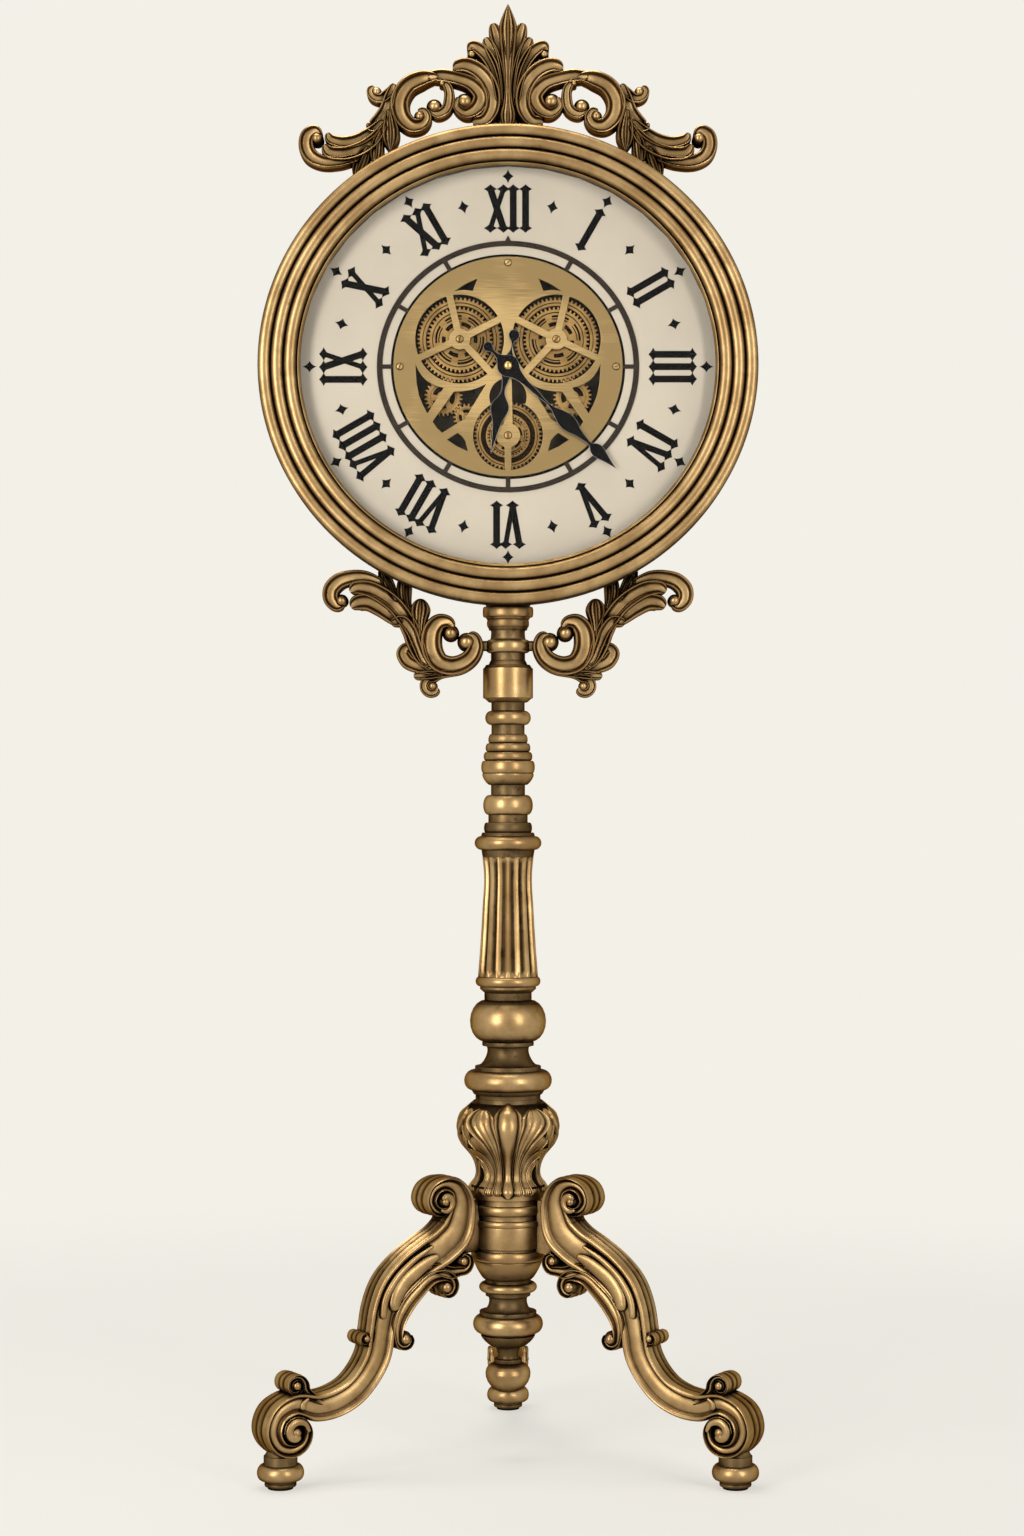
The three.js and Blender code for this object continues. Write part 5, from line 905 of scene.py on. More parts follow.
leaf_stroke(half, -6, 60, [
    (-166.7, -23.5, 6), (-173.5, -37.2, 18), (-178.6, -51, 17), (-182.5, -66, 4),
], ONE_ROUND_END)
crest = mirrored(half)
CREST_GROUND = [(0, 6, 40), (0, 30, 44), (0, 56, 52), (0, 76, 58), (0, 98, 46), (0, 120, 22)]
CREST_SPINE = [(0, 0.5, 2), (0, 6, 14), (0, 15, 19), (0, 30, 12), (0, 45, 8), (0, 57, 9), (0, 82, 15),
               (0, 105, 21), (0, 124, 22), (0, 138, 11), (0, 147.6, 1)]
ground = Shape()
stroke(ground, CREST_GROUND, ROUND, ORNAMENT_BACK + 1, -14, 40, 0.2)
# Painted shade: the ground's face shows dark between the crest's scrolls
ground.patina_and_shade = [np.where(ground.points[0][:, 2] > ORNAMENT_BACK + 2, 0.9, BACK_PATINA_AND_SHADE)]
crest.add_shape(ground)
stroke(crest, CREST_SPINE, LEAF, ORNAMENT_BACK, -1.5, 120, 1.4, BLUNT_ENDS)
stroke(crest, [(0, -8, 30), (0, 12, 26)], ROUND, ORNAMENT_BACK, -12, 16, 0.6, BLUNT_ENDS)


# The crest's shoulders and tips lift towards the sides: rise, where it starts and over what length
CREST_LIFTS = ((2.5, 20, 60), (5.0, 150, 70))


def swept_up(points):
    reach = np.abs(points[:, 0])
    rise = sum(height * np.clip((reach - start) / length, 0, 1) for height, start, length in CREST_LIFTS)
    return points + np.column_stack([np.zeros(len(points)), rise, np.zeros(len(points))])


casting("crest_casting", moved(changed(crest, swept_up), 0, BEZEL_RADIUS), on_head, "crest", CARVED_EDGE)

# Brackets: the left one, measured from the column's axis at the neck's ring
bracket = Shape()
scroll(bracket, -5, 100, [
    (-150, 75, 9), (-172, 82, 16), (-189, 81, 19), (-203, 76, 21), (-211.5, 66, 21), (-211, 54.5, 19),
    (-204.5, 48, 15), (-196, 50, 10),
])
bead(bracket, (-199, 53.5), 6.2, -3)
scroll(bracket, -4, 110, [
    (-189, 64, 13), (-181, 69, 18), (-169, 68.5, 21), (-151, 60.5, 22.5), (-135, 48, 22.5),
    (-123, 32.5, 22), (-113.5, 17.5, 20), (-107, 0, 17), (-100, -18, 13), (-92, -29, 8),
])
scroll(bracket, -5, 70, [
    (-188, 45.5, 13), (-181, 51, 19), (-169, 52.5, 21), (-154, 46, 21), (-139, 34.5, 17), (-127, 24, 10),
])
scroll(bracket, -3, 70, [
    (-140, 26.5, 10), (-127, 29, 15), (-118, 18, 19), (-111.5, 0, 19), (-104.5, -15, 15), (-96, -26, 9),
])
leaf_stroke(bracket, -7, 50, [(-132, 52, 5), (-142, 70, 15), (-149, 86, 14), (-151, 97, 6)])
leaf_stroke(bracket, -6, 50, [(-118, 40, 6), (-124, 58, 17), (-124, 74, 18), (-121, 88, 10)])
leaf_stroke(bracket, -3, 60, [(-105.5, 8, 8), (-106, 28, 17), (-105, 43, 24), (-104, 56, 18)])
scroll(bracket, -3, 150, [
    (-65, 21.5, 9), (-71.5, 28, 15), (-81.2, 28, 21), (-89.4, 19.4, 25), (-92.4, 6, 27), (-90.4, -8.2, 27),
    (-82, -20.4, 25.5), (-68.4, -24.6, 24.5), (-54, -21.2, 23.5), (-42.6, -11.6, 21.5), (-38.6, 0, 19),
    (-41.5, 9.5, 15.5), (-48.5, 13, 10),
])
bead(bracket, (-68.6, 14.8), 8.2, -1.5)
bead(bracket, (-49.6, 4.2), 9, -1.5)
scroll(bracket, -5, 70, [
    (-88, -31, 10), (-108, -25, 16), (-121.5, -17, 18.5), (-125, -8, 17), (-121, -3.2, 14), (-115, -6.1, 9),
])
scroll(bracket, -5, 60, [(-113, -36.6, 9), (-99, -35.6, 11.5), (-83.7, -34.5, 10), (-60, -33, 6)])
scroll(bracket, -6, 70, [(-64, -33, 5), (-84, -37.5, 8)] + curl((-91, -48.5), [
    (75, 9.6, 10), (120, 9.3, 11), (165, 9.2, 11.5), (210, 9, 11.5), (255, 8.8, 10.5), (300, 8.2, 9.5),
    (345, 7.2, 7),
]))
bead(bracket, (-90, -48.5), 4.6, -4)
stroke(bracket, [(-42, 0, 12), (-25, 0, 12)], ROUND, ORNAMENT_BACK, -14, 16, 1.2, BLUNT_ENDS)
left_bracket = moved(bracket, 0, NECK_RING_Z - HEAD_Z)
right_bracket = changed(left_bracket, sideways, flip=True)
casting("bracket_left_casting", left_bracket, on_head, "bracket_left", CARVED_EDGE)
casting("bracket_right_casting", right_bracket, on_head, "bracket_right", CARVED_EDGE)

# Bezel of three reeds, bright on their crowns, with painted shade on their flanks and outer edge, and patina
# and painted shade in the grooves
REED_WIDTH, REED_BASE, REED_RISE, REED_COUNT = 14.7, 23.6, 6.4, 3
REED_FILL, REED_STEPS = 0.485, 14
LIP_RADIUS = 236.2
BEZEL_BACK = -8
REED_FLANK_SHADE = 0.8
GROOVE_PATINA_AND_SHADE, GROOVE_FADE = 0.75, 5.0
GLASS_LOW, GLASS_HIGH, GLASS_RADIUS = 15.2, 18.2, 243.7
GLASS_SEAT = GLASS_RADIUS + 0.3
bezel_profile = [
    (GLASS_SEAT, BEZEL_BACK), (BEZEL_RADIUS - 1.5, BEZEL_BACK), (BEZEL_RADIUS, BEZEL_BACK + 1.5),
]
bezel_marks = [0.8, 0.8, 0.6]
for reed in range(REED_COUNT):
    middle = BEZEL_RADIUS - (reed + 0.5) * REED_WIDTH
    for step in range(REED_STEPS + 1):
        turn = math.pi * step / REED_STEPS
        rise = math.sin(turn)
        across = REED_FILL * REED_WIDTH * math.cos(turn)
        bezel_profile.append((middle + across, REED_BASE + REED_RISE * rise**0.85))
        bezel_marks.append(max(GROOVE_PATINA_AND_SHADE - GROOVE_FADE * rise, REED_FLANK_SHADE * (1 - rise) ** 0.5))
slope_start = BEZEL_RADIUS - REED_COUNT * REED_WIDTH
# From the last reed down to the lip over the glass: radius, level, patina and painted shade, darkest at the
# glass
LIP_ROWS = (
    (slope_start - 0.6, 21.0, 0.9), (slope_start - 1.4, 22.6, 0.1), (slope_start - 2.2, 22.4, 0.1),
    (LIP_RADIUS + 1, 20.2, 0.4), (LIP_RADIUS, 19.4, 0.7), (LIP_RADIUS, 18.5, 0.9), (GLASS_SEAT, 18.5, 1.0),
)
for radius, level, mark in LIP_ROWS:
    bezel_profile.append((radius, level))
    bezel_marks.append(mark)
bezel_profile.append(bezel_profile[0])
bezel_marks.append(bezel_marks[0])
casting("bezel_rim", changed(ring(bezel_profile, 180, bezel_marks), widened), on_head, "bezel")

# Glass
GLASS_INDEX, SHINE_SHARE = 1.22, 0.5
glass_material, glass_tree, glass_shader = new_material("clear_glass")
glass_tree.nodes.remove(glass_shader)
clear = add(glass_tree, "BsdfTransparent", Color=GLASS_TINT)
shine = add(glass_tree, "BsdfGlossy", Color=(1.0, 1.0, 1.0), Roughness=0.02)
fresnel = add(glass_tree, "Fresnel", IOR=GLASS_INDEX).outputs[0]
shine_share = maths(glass_tree, "MULTIPLY", fresnel, SHINE_SHARE)
glass_mix = add(glass_tree, "MixShader", i0=shine_share, i1=clear.outputs[0], i2=shine.outputs[0])
resurface(glass_tree, glass_mix)
PANE_MIDDLE = 0.5
pane = [
    (PANE_MIDDLE, GLASS_LOW), (GLASS_RADIUS, GLASS_LOW), (GLASS_RADIUS, GLASS_HIGH),
    (PANE_MIDDLE, GLASS_HIGH),
]
glass_pane = changed(lathe(eased(pane, 0.5), 120), widened)
head_piece("glass_pane", glass_pane, glass_material, "clear_glass", "glass")

# Dial with printed numerals
PLATE_RADIUS = 131
DIAL_OPENING = 128.5
DIAL_BACK = -3
dial = [(DIAL_OPENING, DIAL_BACK), (GLASS_RADIUS, DIAL_BACK), (GLASS_RADIUS, 0), (DIAL_OPENING, 0),
        (DIAL_OPENING, DIAL_BACK)]
head_piece("dial_face", changed(ring(eased(dial, 0.3), 160), widened), cream, "cream_enamel", "dial_plate")

NUMERALS = ("I", "II", "III", "IV", "V", "VI", "VII", "VIII", "IX", "X", "XI", "XII")
NUMERAL_FOOT, NUMERAL_HEIGHT = 159.5, 58
STEM, THIN_STEM, SERIF_WIDTH, SERIF_LENGTH = 8.2, 6.0, 16.0, 11.4
V_STEM = 0.92 * STEM
I_STEP, V_WIDTH, X_WIDTH, WIDE_STEP = 14.7, 16.4, 15.6, 27.2
INK_LOW, INK_HIGH, INK_BEVEL = 0.02, 0.2, 0.01
SERIF_LIFT, NEXT_LIFT = 0.03, 0.01
HOUR_STAR, BETWEEN_STAR = 227, 197
STAR_WIDTH, STAR_LENGTH = 13.6, 16.8


def turned_by(angle):
    return np.array([[math.cos(angle), math.sin(angle)], [-math.sin(angle), math.cos(angle)]])


# Four points joined by curves that bend towards the middle
def star(at, across, along, turn=0.0, waist=0.27):
    corners = [(0, along), (across, 0), (0, -along), (-across, 0), (0, along)]
    points = []
    for (x, y), (next_x, next_y) in zip(corners, corners[1:]):
        bend_x, bend_y = waist * (x + next_x), waist * (y + next_y)
        for share in (0, 0.25, 0.5, 0.75):
            back, mid, ahead = (1 - share) ** 2, 2 * share * (1 - share), share**2
            across_at = back * x + mid * bend_x + ahead * next_x
            along_at = back * y + mid * bend_y + ahead * next_y
            points.append((across_at, along_at))
    return np.array(points) @ turned_by(turn) + at


def numeral(text):
    strokes, stars = [], []
    low, high = SERIF_LENGTH / 2, NUMERAL_HEIGHT - SERIF_LENGTH / 2
    place = 0.0
    for letter in text:
        if letter == "I":
            strokes.append(stem((place, low), (place, high), STEM))
            stars += [(place, low), (place, high)]
            place += I_STEP
        elif letter == "V":
            foot = (place + V_WIDTH / 2, low)
            strokes.append(stem(foot, (place, high), V_STEM))
            strokes.append(stem(foot, (place + V_WIDTH, high), THIN_STEM))
            stars += [foot, (place, high), (place + V_WIDTH, high)]
            place += WIDE_STEP if text.startswith("V") else V_WIDTH
        else:
            far = place + X_WIDTH
            strokes.append(stem((far, low), (place, high), STEM))
            strokes.append(stem((place, low), (far, high), THIN_STEM))
            stars += [(place, low), (far, high), (far, low), (place, high)]
            place += WIDE_STEP
    wide = max(point[0] for point in stars)
    shift = np.array([-wide / 2, NUMERAL_FOOT])
    bars = [outline + shift for outline in strokes]
    serifs = [star(np.array(at) + shift, SERIF_WIDTH / 2, SERIF_LENGTH / 2, waist=0.4) for at in stars]
    return bars, serifs


printed = Shape()
for hour, text in enumerate(NUMERALS, 1):
    turn = -math.radians(30 * hour)
    reach = NUMERAL_FOOT + NUMERAL_HEIGHT / 2
    shift = np.array([-math.sin(turn), math.cos(turn)]) * reach * [HEAD_WIDTH - 1, 0]
    for layer, outlines in enumerate(numeral(text)):
        for order, outline in enumerate(outlines):
            top = INK_HIGH + SERIF_LIFT * layer + NEXT_LIFT * (order % 2)
            printed.add_shape(plate([outline @ turned_by(turn) + shift], INK_LOW, top, INK_BEVEL))
    for reach, part in ((HOUR_STAR, 0), (BETWEEN_STAR, 0.5)):
        angle = -math.radians(30 * (hour + part))
        at = np.array([-math.sin(angle) * HEAD_WIDTH, math.cos(angle)]) * reach
        outline = star(at, STAR_WIDTH / 2, STAR_LENGTH / 2, angle)
        printed.add_shape(plate([outline], INK_LOW, INK_HIGH, INK_BEVEL))
head_piece("numerals", printed, ink, "black_enamel")

# Minute ring with spokes and a pointer at twelve
RING_RADIUS, RING_WIDTH, RING_LOW, RING_HIGH, SPOKE = 150.0, 6.4, 0.3, 1.1, 5.2
SPOKE_HIGH = RING_HIGH - 0.1
POINTER = np.array([(-3.8, 149), (3.8, 149), (0, 156.5)])
ring_band = [circle((0, 0), RING_RADIUS, 160), circle((0, 0), RING_RADIUS - RING_WIDTH, 160)]
ring_parts = [plate(ring_band, RING_LOW, RING_HIGH)]
for hour in range(1, 12):
    angle = math.radians(90 - 30 * hour)
    outward = np.array([math.cos(angle), math.sin(angle)])
    outline = stem(outward * (PLATE_RADIUS + 0.6), outward * (RING_RADIUS - RING_WIDTH / 2), SPOKE)
    ring_parts.append(plate([outline], RING_LOW, SPOKE_HIGH))
ring_parts.append(plate([POINTER], RING_LOW, SPOKE_HIGH))
minute_ring = Shape()
for part in ring_parts:
    minute_ring.add_shape(part, widened)
head_piece("minute_ring_trim", minute_ring, ring_paint, "dark_bronze", "minute_ring")

# Gear plate: windows with spiders, and cut-outs round them, on the left half
WHEEL_AT, LOWER_AT, LOOP_AT = (-57.6, 32.7), (0, -82), (0, -36)
WINDOW, LOWER_WINDOW, LOOP_WINDOW = 53, 41.6, 22.3
SPIDER_HUB, SPIDER_ARM, LOWER_HUB, ARBOR_HOLE = 12.5, 8, 14.5, 5
SPOKE_BEARINGS = [26.5, 103, 204.8, 313]
LOOP_START, LOOP_CROSSING, LOWER_CROSSING, LOWER_END = 101, 205.5, 118.9, 264.9
HUB_START, HUB_END = 254, 112
PLATE_LOW, PLATE_HIGH = 0.3, 2.3
CUT_OUTS = (
    [(-63.6, 90), (-50, 98.6), (-36.3, 104.7), (-39.5, 97), (-42, 90), (-52, 91.3)],
    [(-110.4, 3), (-106.5, -5), (-102, -12), (-96.5, -17.2), (-90, -21), (-83, -24), (-76.6, -25.4),
     (-96, -56), (-101.5, -46), (-106, -35), (-109, -20)],
    [(-64.5, -30), (-54, -29.6), (-44, -28), (-35, -25.2), (-26, -21), (-51, -62), (-78.5, -79), (-85, -73),
     (-90, -65.5)],
    [(-72.7, -87.3), (-60, -79.2), (-55, -83), (-51, -88), (-47.6, -101), (-60, -95.5)],
)


def spider_opening(start, end):
    outer = math.degrees(math.asin(SPIDER_ARM / 2 / WINDOW))
    inner = math.degrees(math.asin(SPIDER_ARM / 2 / SPIDER_HUB))
    return np.vstack([
        arc(WHEEL_AT, WINDOW, start + outer, end - outer, 28),
        arc(WHEEL_AT, SPIDER_HUB, end - inner, start + inner, 10),
    ])


def oval(radius):
    return circle((0, 0), radius, 180) * [HEAD_WIDTH, 1]


left_openings = []
for start, end in zip(SPOKE_BEARINGS, SPOKE_BEARINGS[1:] + [SPOKE_BEARINGS[0] + 360]):
    left_openings.append(spider_opening(start, end))
left_openings.append(np.vstack([
    arc(LOOP_AT, LOOP_WINDOW, LOOP_START, LOOP_CROSSING, 16),
    arc(LOWER_AT, LOWER_WINDOW, LOWER_CROSSING, LOWER_END, 28),
    arc(LOWER_AT, LOWER_HUB, HUB_START, HUB_END, 16),
]))
left_openings += [np.array(outline) for outline in CUT_OUTS]
openings = left_openings + [outline * [-1, 1] for outline in left_openings]
plate_outlines = [oval(PLATE_RADIUS), circle((0, 0), ARBOR_HOLE, 32)] + openings
gear_plate = plate(plate_outlines, PLATE_LOW, PLATE_HIGH, 0.25)
head_piece("gear_plate_front", gear_plate, plate_brass, "brushed_brass", "gear_plate", sharp=PLATE_EDGE)
edge_line = plate([oval(PLATE_RADIUS + 3.0), oval(PLATE_RADIUS - 1)], 0.05, 0.28, 0.04)
head_piece("gear_plate_shadow_line", edge_line, ink, "black_enamel")

SCREW_SEAT = PLATE_HIGH + 0.3
SCREW_RADIUS = 4.0
SCREW_SLOT = 0.9


def screw_head(at, radius, turn):
    seat = SCREW_SEAT
    dome = [(radius, seat), (radius, seat + 0.6), (radius * 0.92, seat + 1.0), (radius * 0.6, seat + 1.35),
            (0.05, seat + 1.4)]
    shape = moved(lathe(dome, 32), *at)
    across = radius * 0.9 * np.array([math.cos(turn), math.sin(turn)])
    slot = stem(np.array(at) - across, np.array(at) + across, SCREW_SLOT)
    # Patina and painted shade in the slot, and a ring of painted shadow round the head
    shape.add_shape(plate([slot], seat + 0.9, seat + 1.45, 0.05, mark=0.9))
    shape.add_shape(plate([circle(at, radius + 0.6, 32)], seat - 0.28, seat + 0.1, 0.05, mark=0.9))
    return shape


for name, at, turn in (("top", (0, 123.8), 0.6), ("left", (-129, 0), 1.2), ("right", (129, 0), 0.2)):
    node = "plate_screw_" + name
    head_piece(node + "_head", screw_head(at, SCREW_RADIUS, turn), plate_brass, "brushed_brass", node)

# Display gears: finer teeth at the same ratios, with places to a thousandth of a millimetre
GEAR_MODULE = 1.65
WHEEL_TEETH, IDLER_TEETH, PINION_TEETH, LOWER_TEETH = 60, 26, 18, 48
GEAR_LOW, GEAR_HIGH = -8.5, -4.5
ARBOR_RADIUS, ARBOR_END = 3.0, -23
WHEEL_SCREW_RADIUS = 4.2
PINION_BEARING = 155.5
GEAR_DECIMALS = 3
# Radii of a wheel's rings, for the larger wheels
RIM_INNER, BAND_OUTER, BAND_INNER, DISC_OUTER, DISC_HOLE = 44.6, 43.6, 40.6, 46, 4
INNER_GEAR_SHARE, INNER_GEAR_RIM, WEB_OUTER = 0.76, 33, 32
OUTER_SLOTS, INNER_SLOTS = (24.2, 29.4), (16.6, 21.4)
THIN_OUTER, THIN_INNER = 26.9, 25.6
HUB_TEETH, HUB_MODULE = 16, 1.5
# A tooth by shares of the pitch along the rim and of the module above the pitch circle
TOOTH = ((-0.28, -1.2), (-0.18, 0.0), (-0.10, 0.8), (0.10, 0.8), (0.18, 0.0), (0.28, -1.2))


def pitch_radius(teeth):
    return teeth * GEAR_MODULE / 2


# The point at given distances from two others, on the left of the way from the first to the second
def crossing(first, first_reach, second, second_reach):
    across, rise = second[0] - first[0], second[1] - first[1]
    span = math.hypot(across, rise)
    along = (first_reach**2 - second_reach**2 + span**2) / 2 / span
    aside = math.sqrt(first_reach**2 - along**2)
    x = first[0] + (along * across - aside * rise) / span
    y = first[1] + (along * rise + aside * across) / span
    return x, y


def gear_outline(at, teeth, phase, module=GEAR_MODULE):
    points = []
    for count in range(teeth):
        for share, rise in TOOTH:
            angle = phase + 2 * math.pi * (count + share) / teeth
            radius = teeth * module / 2 + rise * module
            points.append((at[0] + radius * math.cos(angle), at[1] + radius * math.sin(angle)))
    return np.array(points)


def meshed(teeth, phase, other_teeth, start, end):
    direction = math.atan2(end[1] - start[1], end[0] - start[0])
    return direction + math.pi - (teeth / other_teeth) * (phase - direction) - math.pi / other_teeth


def slots(at, inner, outer, count, start, gap):
    outlines = []
    for number in range(count):
        first = start + 360 / count * number + gap / 2
        last = start + 360 / count * (number + 1) - gap / 2
        outlines.append(np.vstack([arc(at, outer, first, last, 14), arc(at, inner, last, first, 14)]))
    return outlines


# Stacked rings, each plate by its outlines and the height of its face, over a disc marked dark with painted
# shade, which shows through the openings
def wheel(at, teeth, phase, scale):
    start = math.degrees(phase)

    def rim(radius, count=64):
        return circle(at, radius * scale, count)

    def pierced(radii, turn, gap):
        return slots(at, radii[0] * scale, radii[1] * scale, 6, start + turn, gap)

    outer_gear = gear_outline(at, teeth, phase)
    inner_gear = gear_outline(at, round(teeth * INNER_GEAR_SHARE), phase + 0.1, GEAR_MODULE * scale)
    hub_gear = gear_outline(at, HUB_TEETH, phase + 0.2, HUB_MODULE * scale)
    disc = [rim(DISC_OUTER, 72), circle(at, DISC_HOLE, 24)]
    web = [rim(WEB_OUTER)] + pierced(OUTER_SLOTS, 0, 17) + pierced(INNER_SLOTS, 20, 24)
    shape = Shape()
    shape.add_shape(plate([outer_gear, rim(RIM_INNER, 72)], GEAR_LOW, GEAR_HIGH))
    shape.add_shape(plate([rim(BAND_OUTER, 72), rim(BAND_INNER, 72)], GEAR_LOW, GEAR_HIGH + 0.4))
    shape.add_shape(plate(disc, GEAR_LOW - 2, GEAR_LOW + 0.5, mark=1.0))
    shape.add_shape(plate([inner_gear, rim(INNER_GEAR_RIM)], GEAR_LOW, GEAR_HIGH + 1.4))
    shape.add_shape(plate(web, GEAR_LOW, GEAR_HIGH + 0.6))
    shape.add_shape(plate([rim(THIN_OUTER), rim(THIN_INNER)], GEAR_LOW, GEAR_HIGH + 1.0))
    shape.add_shape(plate([hub_gear], GEAR_LOW, GEAR_HIGH + 2.2))
    shape.add_shape(moved(lathe([(ARBOR_RADIUS, ARBOR_END), (ARBOR_RADIUS, SCREW_SEAT)], 24), *at))
    shape.add_shape(screw_head(at, WHEEL_SCREW_RADIUS, phase))
    return shape


def small_gear(at, teeth, phase):
    pitch = pitch_radius(teeth)
    web = [circle(at, pitch * 0.78, 48)] + slots(at, pitch * 0.36, pitch * 0.64, 3, math.degrees(phase), 34)
    arbor = [(ARBOR_RADIUS, ARBOR_END), (ARBOR_RADIUS, -3), (2.4, -2.4), (0.05, -2.2)]
    shape = Shape()
    rim = [gear_outline(at, teeth, phase), circle(at, pitch * 0.74, 48)]
    shape.add_shape(plate(rim, GEAR_LOW, GEAR_HIGH))
    shape.add_shape(plate(web, GEAR_LOW + 0.6, GEAR_HIGH - 1.2))
    shape.add_shape(moved(lathe(arbor, 24), *at))
    return shape


def gear_piece(node, shape):
    piece(node + "_gear", shape, on_head, gear_brass, node, [node])


pinion_reach = pitch_radius(LOWER_TEETH) + pitch_radius(PINION_TEETH)
idler_reach = pitch_radius(PINION_TEETH) + pitch_radius(IDLER_TEETH)
wheel_reach = pitch_radius(IDLER_TEETH) + pitch_radius(WHEEL_TEETH)
pinion_left = curl(LOWER_AT, [(PINION_BEARING, pinion_reach)])[0]
idler_left = crossing(pinion_left, idler_reach, WHEEL_AT, wheel_reach)
left_places = np.round([pinion_left, idler_left, WHEEL_AT], GEAR_DECIMALS).tolist()
lower_phase = math.pi / 2
gear_piece("wheel_lower", wheel(LOWER_AT, LOWER_TEETH, lower_phase, 0.8))
for name, side in (("left", 1), ("right", -1)):
    pinion_at, idler_at, wheel_at = [(side * x, y) for x, y in left_places]
    pinion_phase = meshed(LOWER_TEETH, lower_phase, PINION_TEETH, LOWER_AT, pinion_at)
    idler_phase = meshed(PINION_TEETH, pinion_phase, IDLER_TEETH, pinion_at, idler_at)
    wheel_phase = meshed(IDLER_TEETH, idler_phase, WHEEL_TEETH, idler_at, wheel_at)
    gear_piece("pinion_" + name, small_gear(pinion_at, PINION_TEETH, pinion_phase))
    gear_piece("idler_" + name, small_gear(idler_at, IDLER_TEETH, idler_phase))
    gear_piece("wheel_" + name, wheel(wheel_at, WHEEL_TEETH, wheel_phase, 1.0))

# Hands: half outlines from the tail to the tip, with a thin bright edge under each blade
SHOWN_HOUR = 6.371
SHOWN_MINUTE = 12 * (SHOWN_HOUR % 1)
HOUR_LEVEL, MINUTE_LEVEL, HAND_THICKNESS, HAND_EDGE = 5.0, 8.0, 1.2, 0.35
BLADE_BEVEL, EDGE_BEVEL = 0.25, 0.08
HOUR_HALF = [
    (0, -44), (4.2, -42.4), (6.2, -38), (4.6, -33.4), (2.4, -31), (2.2, -16), (5.5, -11.5), (11.5, -5),
    (12.3, 0), (11.2, 5), (6, 11), (3, 20), (2.4, 33), (5, 38.5), (9.2, 45), (10.5, 51), (9.2, 57),
    (5.5, 67), (3, 80), (1.2, 95), (0, 103.5),
]
MINUTE_HALF = [
    (0, -38.4), (3.8, -36.8), (5.4, -33), (4, -29), (2.4, -26.6), (2.6, -17), (6, -12), (12, -5), (13, 0),
    (11.5, 6), (7, 13), (4, 24), (2.6, 45), (2.2, 74), (4.4, 79), (8.4, 90), (9.4, 98), (8.6, 104), (5, 114),
    (2.6, 126), (2.0, 136), (6.0, 141), (7.5, 148), (6.4, 153), (3.2, 163), (1.2, 171), (0, 177),
]
NUT_PROFILE = [(5.4, 9.5), (5.6, 10.2), (5.4, 11.4), (4.6, 12.6), (3.2, 13.5), (1.6, 14.0), (0.05, 14.1)]
HANDS = (
    ("hour_hand", "hour_works", HOUR_HALF, HOUR_LEVEL, SHOWN_HOUR),
    ("minute_hand", "minute_works", MINUTE_HALF, MINUTE_LEVEL, SHOWN_MINUTE),
)
for node, body, side, level, hour in HANDS:
    rows = smooth_rows(side, 4)
    outline = np.vstack([rows, rows[-2:0:-1] * [-1, 1]]) @ turned_by(-2 * math.pi * hour / 12)
    blade = plate([outline], level + HAND_EDGE, level + HAND_THICKNESS, BLADE_BEVEL)
    edge = plate([outline], level, level + HAND_EDGE, EDGE_BEVEL, HAND_EDGE)
    piece(node + "_blade", blade, on_head, black, body, [node])
    piece(node + "_edge", edge, on_head, steel, body)
nut = lathe(NUT_PROFILE, 40)
piece("hand_nut_dome", nut, on_head, bright_brass, "minute_works", ["hand_nut"])

# Case: a drum with a front flange behind the bezel and a rear lip for the cover
CASE_INNER, CASE_OUTER, CASE_LIP, FLANGE_RADIUS = 237.7, 241.2, 225.7, 281
CASE_FRONT, CASE_BACK, CASE_WALL = -3.3, -60, 3.5
FLANGE_FRONT, FLANGE_BACK = -8.3, -11.3
case = [
    (CASE_INNER, CASE_FRONT), (CASE_INNER, CASE_BACK + CASE_WALL), (CASE_LIP, CASE_BACK + CASE_WALL),
    (CASE_LIP, CASE_BACK), (CASE_OUTER, CASE_BACK), (CASE_OUTER, FLANGE_BACK), (FLANGE_RADIUS, FLANGE_BACK),
    (FLANGE_RADIUS, FLANGE_FRONT), (CASE_OUTER, FLANGE_FRONT), (CASE_OUTER, CASE_FRONT),
    (CASE_INNER, CASE_FRONT),
]
case_shell = changed(ring(eased(case, 1.2), 160), widened)
head_piece("case_shell_spinning", case_shell, bronze, "dark_bronze", "case_shell")

# Beads on the back cover, and the battery door's raised panel and finger ridges
COVER_BACK, DOOR_BACK = -62.3, -64.6
BEAD_RADII, BEAD_WIDTH, BEAD_RISE, BEAD_STEPS = (190, 214), 2.6, 1.4, 8
RIDGE_COUNT, RIDGE_STEP, RIDGE_HEIGHT, RIDGE_REACH, FIRST_RIDGE = 5, 3.6, 1.8, 16, -52
# The door's raised panel and the two outlines of its frame: low corner, high corner, corner radius
PANEL_OUTLINE = ((-50, -66), (50, 32), 9)
FRAME_OUTLINES = (((-43, -59), (43, 25), 6), ((-40.5, -56.5), (40.5, 22.5), 4.5))
PANEL_RISE, FRAME_RISE, RIDGE_RISE, RAISED_FOOT = 1.1, 1.7, 2.0, 0.9
beads = Shape()
for radius in BEAD_RADII:
    bead_profile = []
    for step in range(BEAD_STEPS + 1):
        turn = math.pi * (1 - step / BEAD_STEPS)
        bead_profile.append((radius + BEAD_WIDTH * math.cos(turn), COVER_BACK - BEAD_RISE * math.sin(turn)))
    bead_profile.append(bead_profile[0])
    beads.add_shape(ring(bead_profile, 120), widened)
head_piece("back_cover_beads", beads, bronze, "dark_bronze")

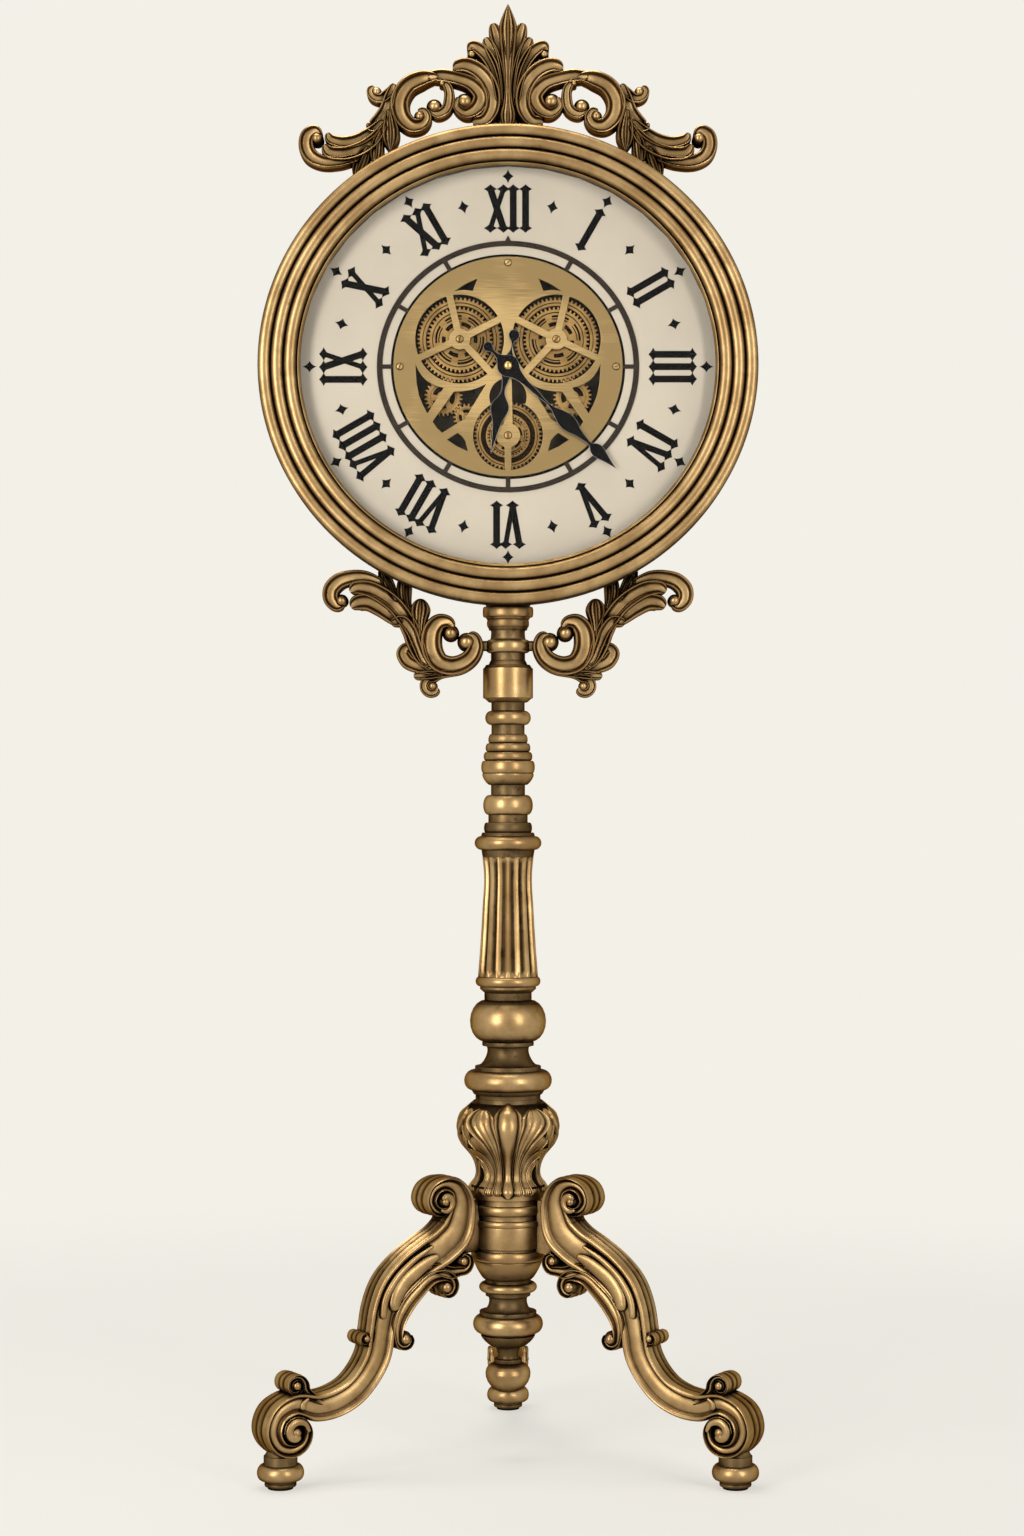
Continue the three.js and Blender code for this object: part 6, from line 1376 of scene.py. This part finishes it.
door_panel = plate([rounded_box(*PANEL_OUTLINE)], DOOR_BACK - PANEL_RISE, DOOR_BACK + 0.2, 0.5)
door_frame = [rounded_box(*outline) for outline in FRAME_OUTLINES]
door_panel.add_shape(plate(door_frame, DOOR_BACK - FRAME_RISE, DOOR_BACK - RAISED_FOOT, 0.3))
for count in range(RIDGE_COUNT):
    foot = FIRST_RIDGE + RIDGE_STEP * count
    ridge = rounded_box((-RIDGE_REACH, foot), (RIDGE_REACH, foot + RIDGE_HEIGHT), 0.8)
    door_panel.add_shape(plate([ridge], DOOR_BACK - RIDGE_RISE, DOOR_BACK - RAISED_FOOT, 0.3))
piece("battery_door_panel", door_panel, on_head, bronze, "battery_door")

# Finishes of the frame's own nodes that stay in view
NODE_FINISHES = (
    (bronze, ("saddle", "back_cover", "battery_door")),
    (backing, ("rear_plate",)),
    (plastic, ("battery_holder", "movement_case", "set_knob", "glass_spacer")),
    (wrap, ("motor_cell", "movement_cell")),
    (gear_brass, ("minute_wheel", "hour_wheel", "switch_slider")),
    (steel, ("door_pin", "tie_rod", "gear_motor", "minute_arbor", "cover_screw_left", "cover_screw_right",
             "saddle_screw_left", "saddle_screw_right", "leg_bolt_left", "leg_bolt_right", "leg_bolt_rear")),
)
for material, names in NODE_FINISHES:
    for name in names:
        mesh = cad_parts[name].data
        mesh.materials.clear()
        mesh.materials.append(material)

# Studio: a pale world and floor as seen and reflected, with dimmer light from them on the object
WORLD_STRENGTH = 0.13
NEAR_GLOW, NEAR_REACH, FAR_REACH = 0.68, 0.6, 2.3
FLOOR_RADIUS, FLOOR_SIDES, FLOOR_SHADE = 30, 64, 0.985


def seen_share(tree):
    rays = add(tree, "LightPath").outputs
    direct = maths(tree, "MAXIMUM", rays["Is Camera Ray"], rays["Is Glossy Ray"])
    return maths(tree, "MAXIMUM", direct, rays["Is Transmission Ray"])


world = bpy.data.worlds.new("studio")
scene.world = world
world.use_nodes = True
sky = world.node_tree
sky.nodes.clear()
seen = add(sky, "Background", Color=BACKGROUND)
dim = add(sky, "Background", Color=WORLD_TINT, Strength=WORLD_STRENGTH)
sky_mix = add(sky, "MixShader", i0=seen_share(sky), i1=dim.outputs[0], i2=seen.outputs[0])
add(sky, "OutputWorld", i0=sky_mix.outputs[0])

floor_material, floor_tree, floor_shader = new_material("studio_floor")
floor_noise = ramp(floor_tree, noise(floor_tree, 3, 2), 0.3, 0.7)
shaded = tuple(FLOOR_SHADE * channel for channel in FLOOR)
give(floor_tree, floor_shader.inputs["Base Color"], blend(floor_tree, floor_noise, shaded, FLOOR))
floor_shader.inputs["Roughness"].default_value = 0.7
floor_shader.inputs["Specular IOR Level"].default_value = 0.1
floor_place = add(floor_tree, "TexCoord").outputs["Object"]
distance = add(floor_tree, "VectorMath", {"operation": "LENGTH"}, i0=floor_place).outputs["Value"]
away = ramp(floor_tree, distance, NEAR_REACH, FAR_REACH)
glow = add(floor_tree, "Emission", Color=BACKGROUND, Strength=1.0)
glow_share = maths(floor_tree, "MULTIPLY_ADD", away, 1 - NEAR_GLOW, NEAR_GLOW)
share = maths(floor_tree, "MULTIPLY", glow_share, seen_share(floor_tree))
floor_mix = add(floor_tree, "MixShader", i0=share, i1=floor_shader.outputs[0], i2=glow.outputs[0])
resurface(floor_tree, floor_mix)
floor_mesh = bpy.data.meshes.new("floor")
floor_points = [(x, y, 0) for x, y in circle((0, 0), FLOOR_RADIUS, FLOOR_SIDES)]
floor_mesh.from_pydata(floor_points, [], [tuple(range(FLOOR_SIDES))])
floor_mesh.materials.append(floor_material)
floor = bpy.data.objects.new("floor", floor_mesh)
scene.collection.objects.link(floor)


def softbox(name, place, target, width, height, power):
    lamp = bpy.data.lights.new(name, "AREA")
    lamp.shape = "RECTANGLE"
    lamp.size, lamp.size_y = width, height
    lamp.energy = power
    lamp.color = LAMP_TINT
    holder = bpy.data.objects.new(name, lamp)
    holder.location = place
    holder.rotation_euler = (Vector(target) - Vector(place)).to_track_quat("-Z", "Y").to_euler()
    scene.collection.objects.link(holder)


# Softboxes: place, target, width, height, power
softbox("key", (-1.9, -2.8, 1.5), (0, 0, 1.0), 1.0, 2.6, 66)
softbox("second", (1.9, -2.8, 1.5), (0, 0, 1.0), 0.6, 2.6, 36)
softbox("top", (-0.3, 0.0, 3.4), (0, 0, 0), 1.6, 1.6, 68)

# Camera, level and straight ahead, with the picture shifted to where the photo has the clock
CAMERA_DISTANCE, CAMERA_HEIGHT, LENS = 3.6, 0.792, 70.3
IMAGE_HEIGHT, SIDE_PIXELS, RISE_PIXELS = 1536, 4, 31.5
camera_data = bpy.data.cameras.new("camera")
camera_data.lens = LENS
camera_data.shift_x = SIDE_PIXELS / IMAGE_HEIGHT
camera_data.shift_y = RISE_PIXELS / IMAGE_HEIGHT
camera = bpy.data.objects.new("camera", camera_data)
camera.location = (0, COLUMN_Y * MM - CAMERA_DISTANCE, CAMERA_HEIGHT)
camera.rotation_euler = (math.pi / 2, 0, 0)
scene.collection.objects.link(camera)
scene.camera = camera
scene.view_settings.view_transform = "Standard"
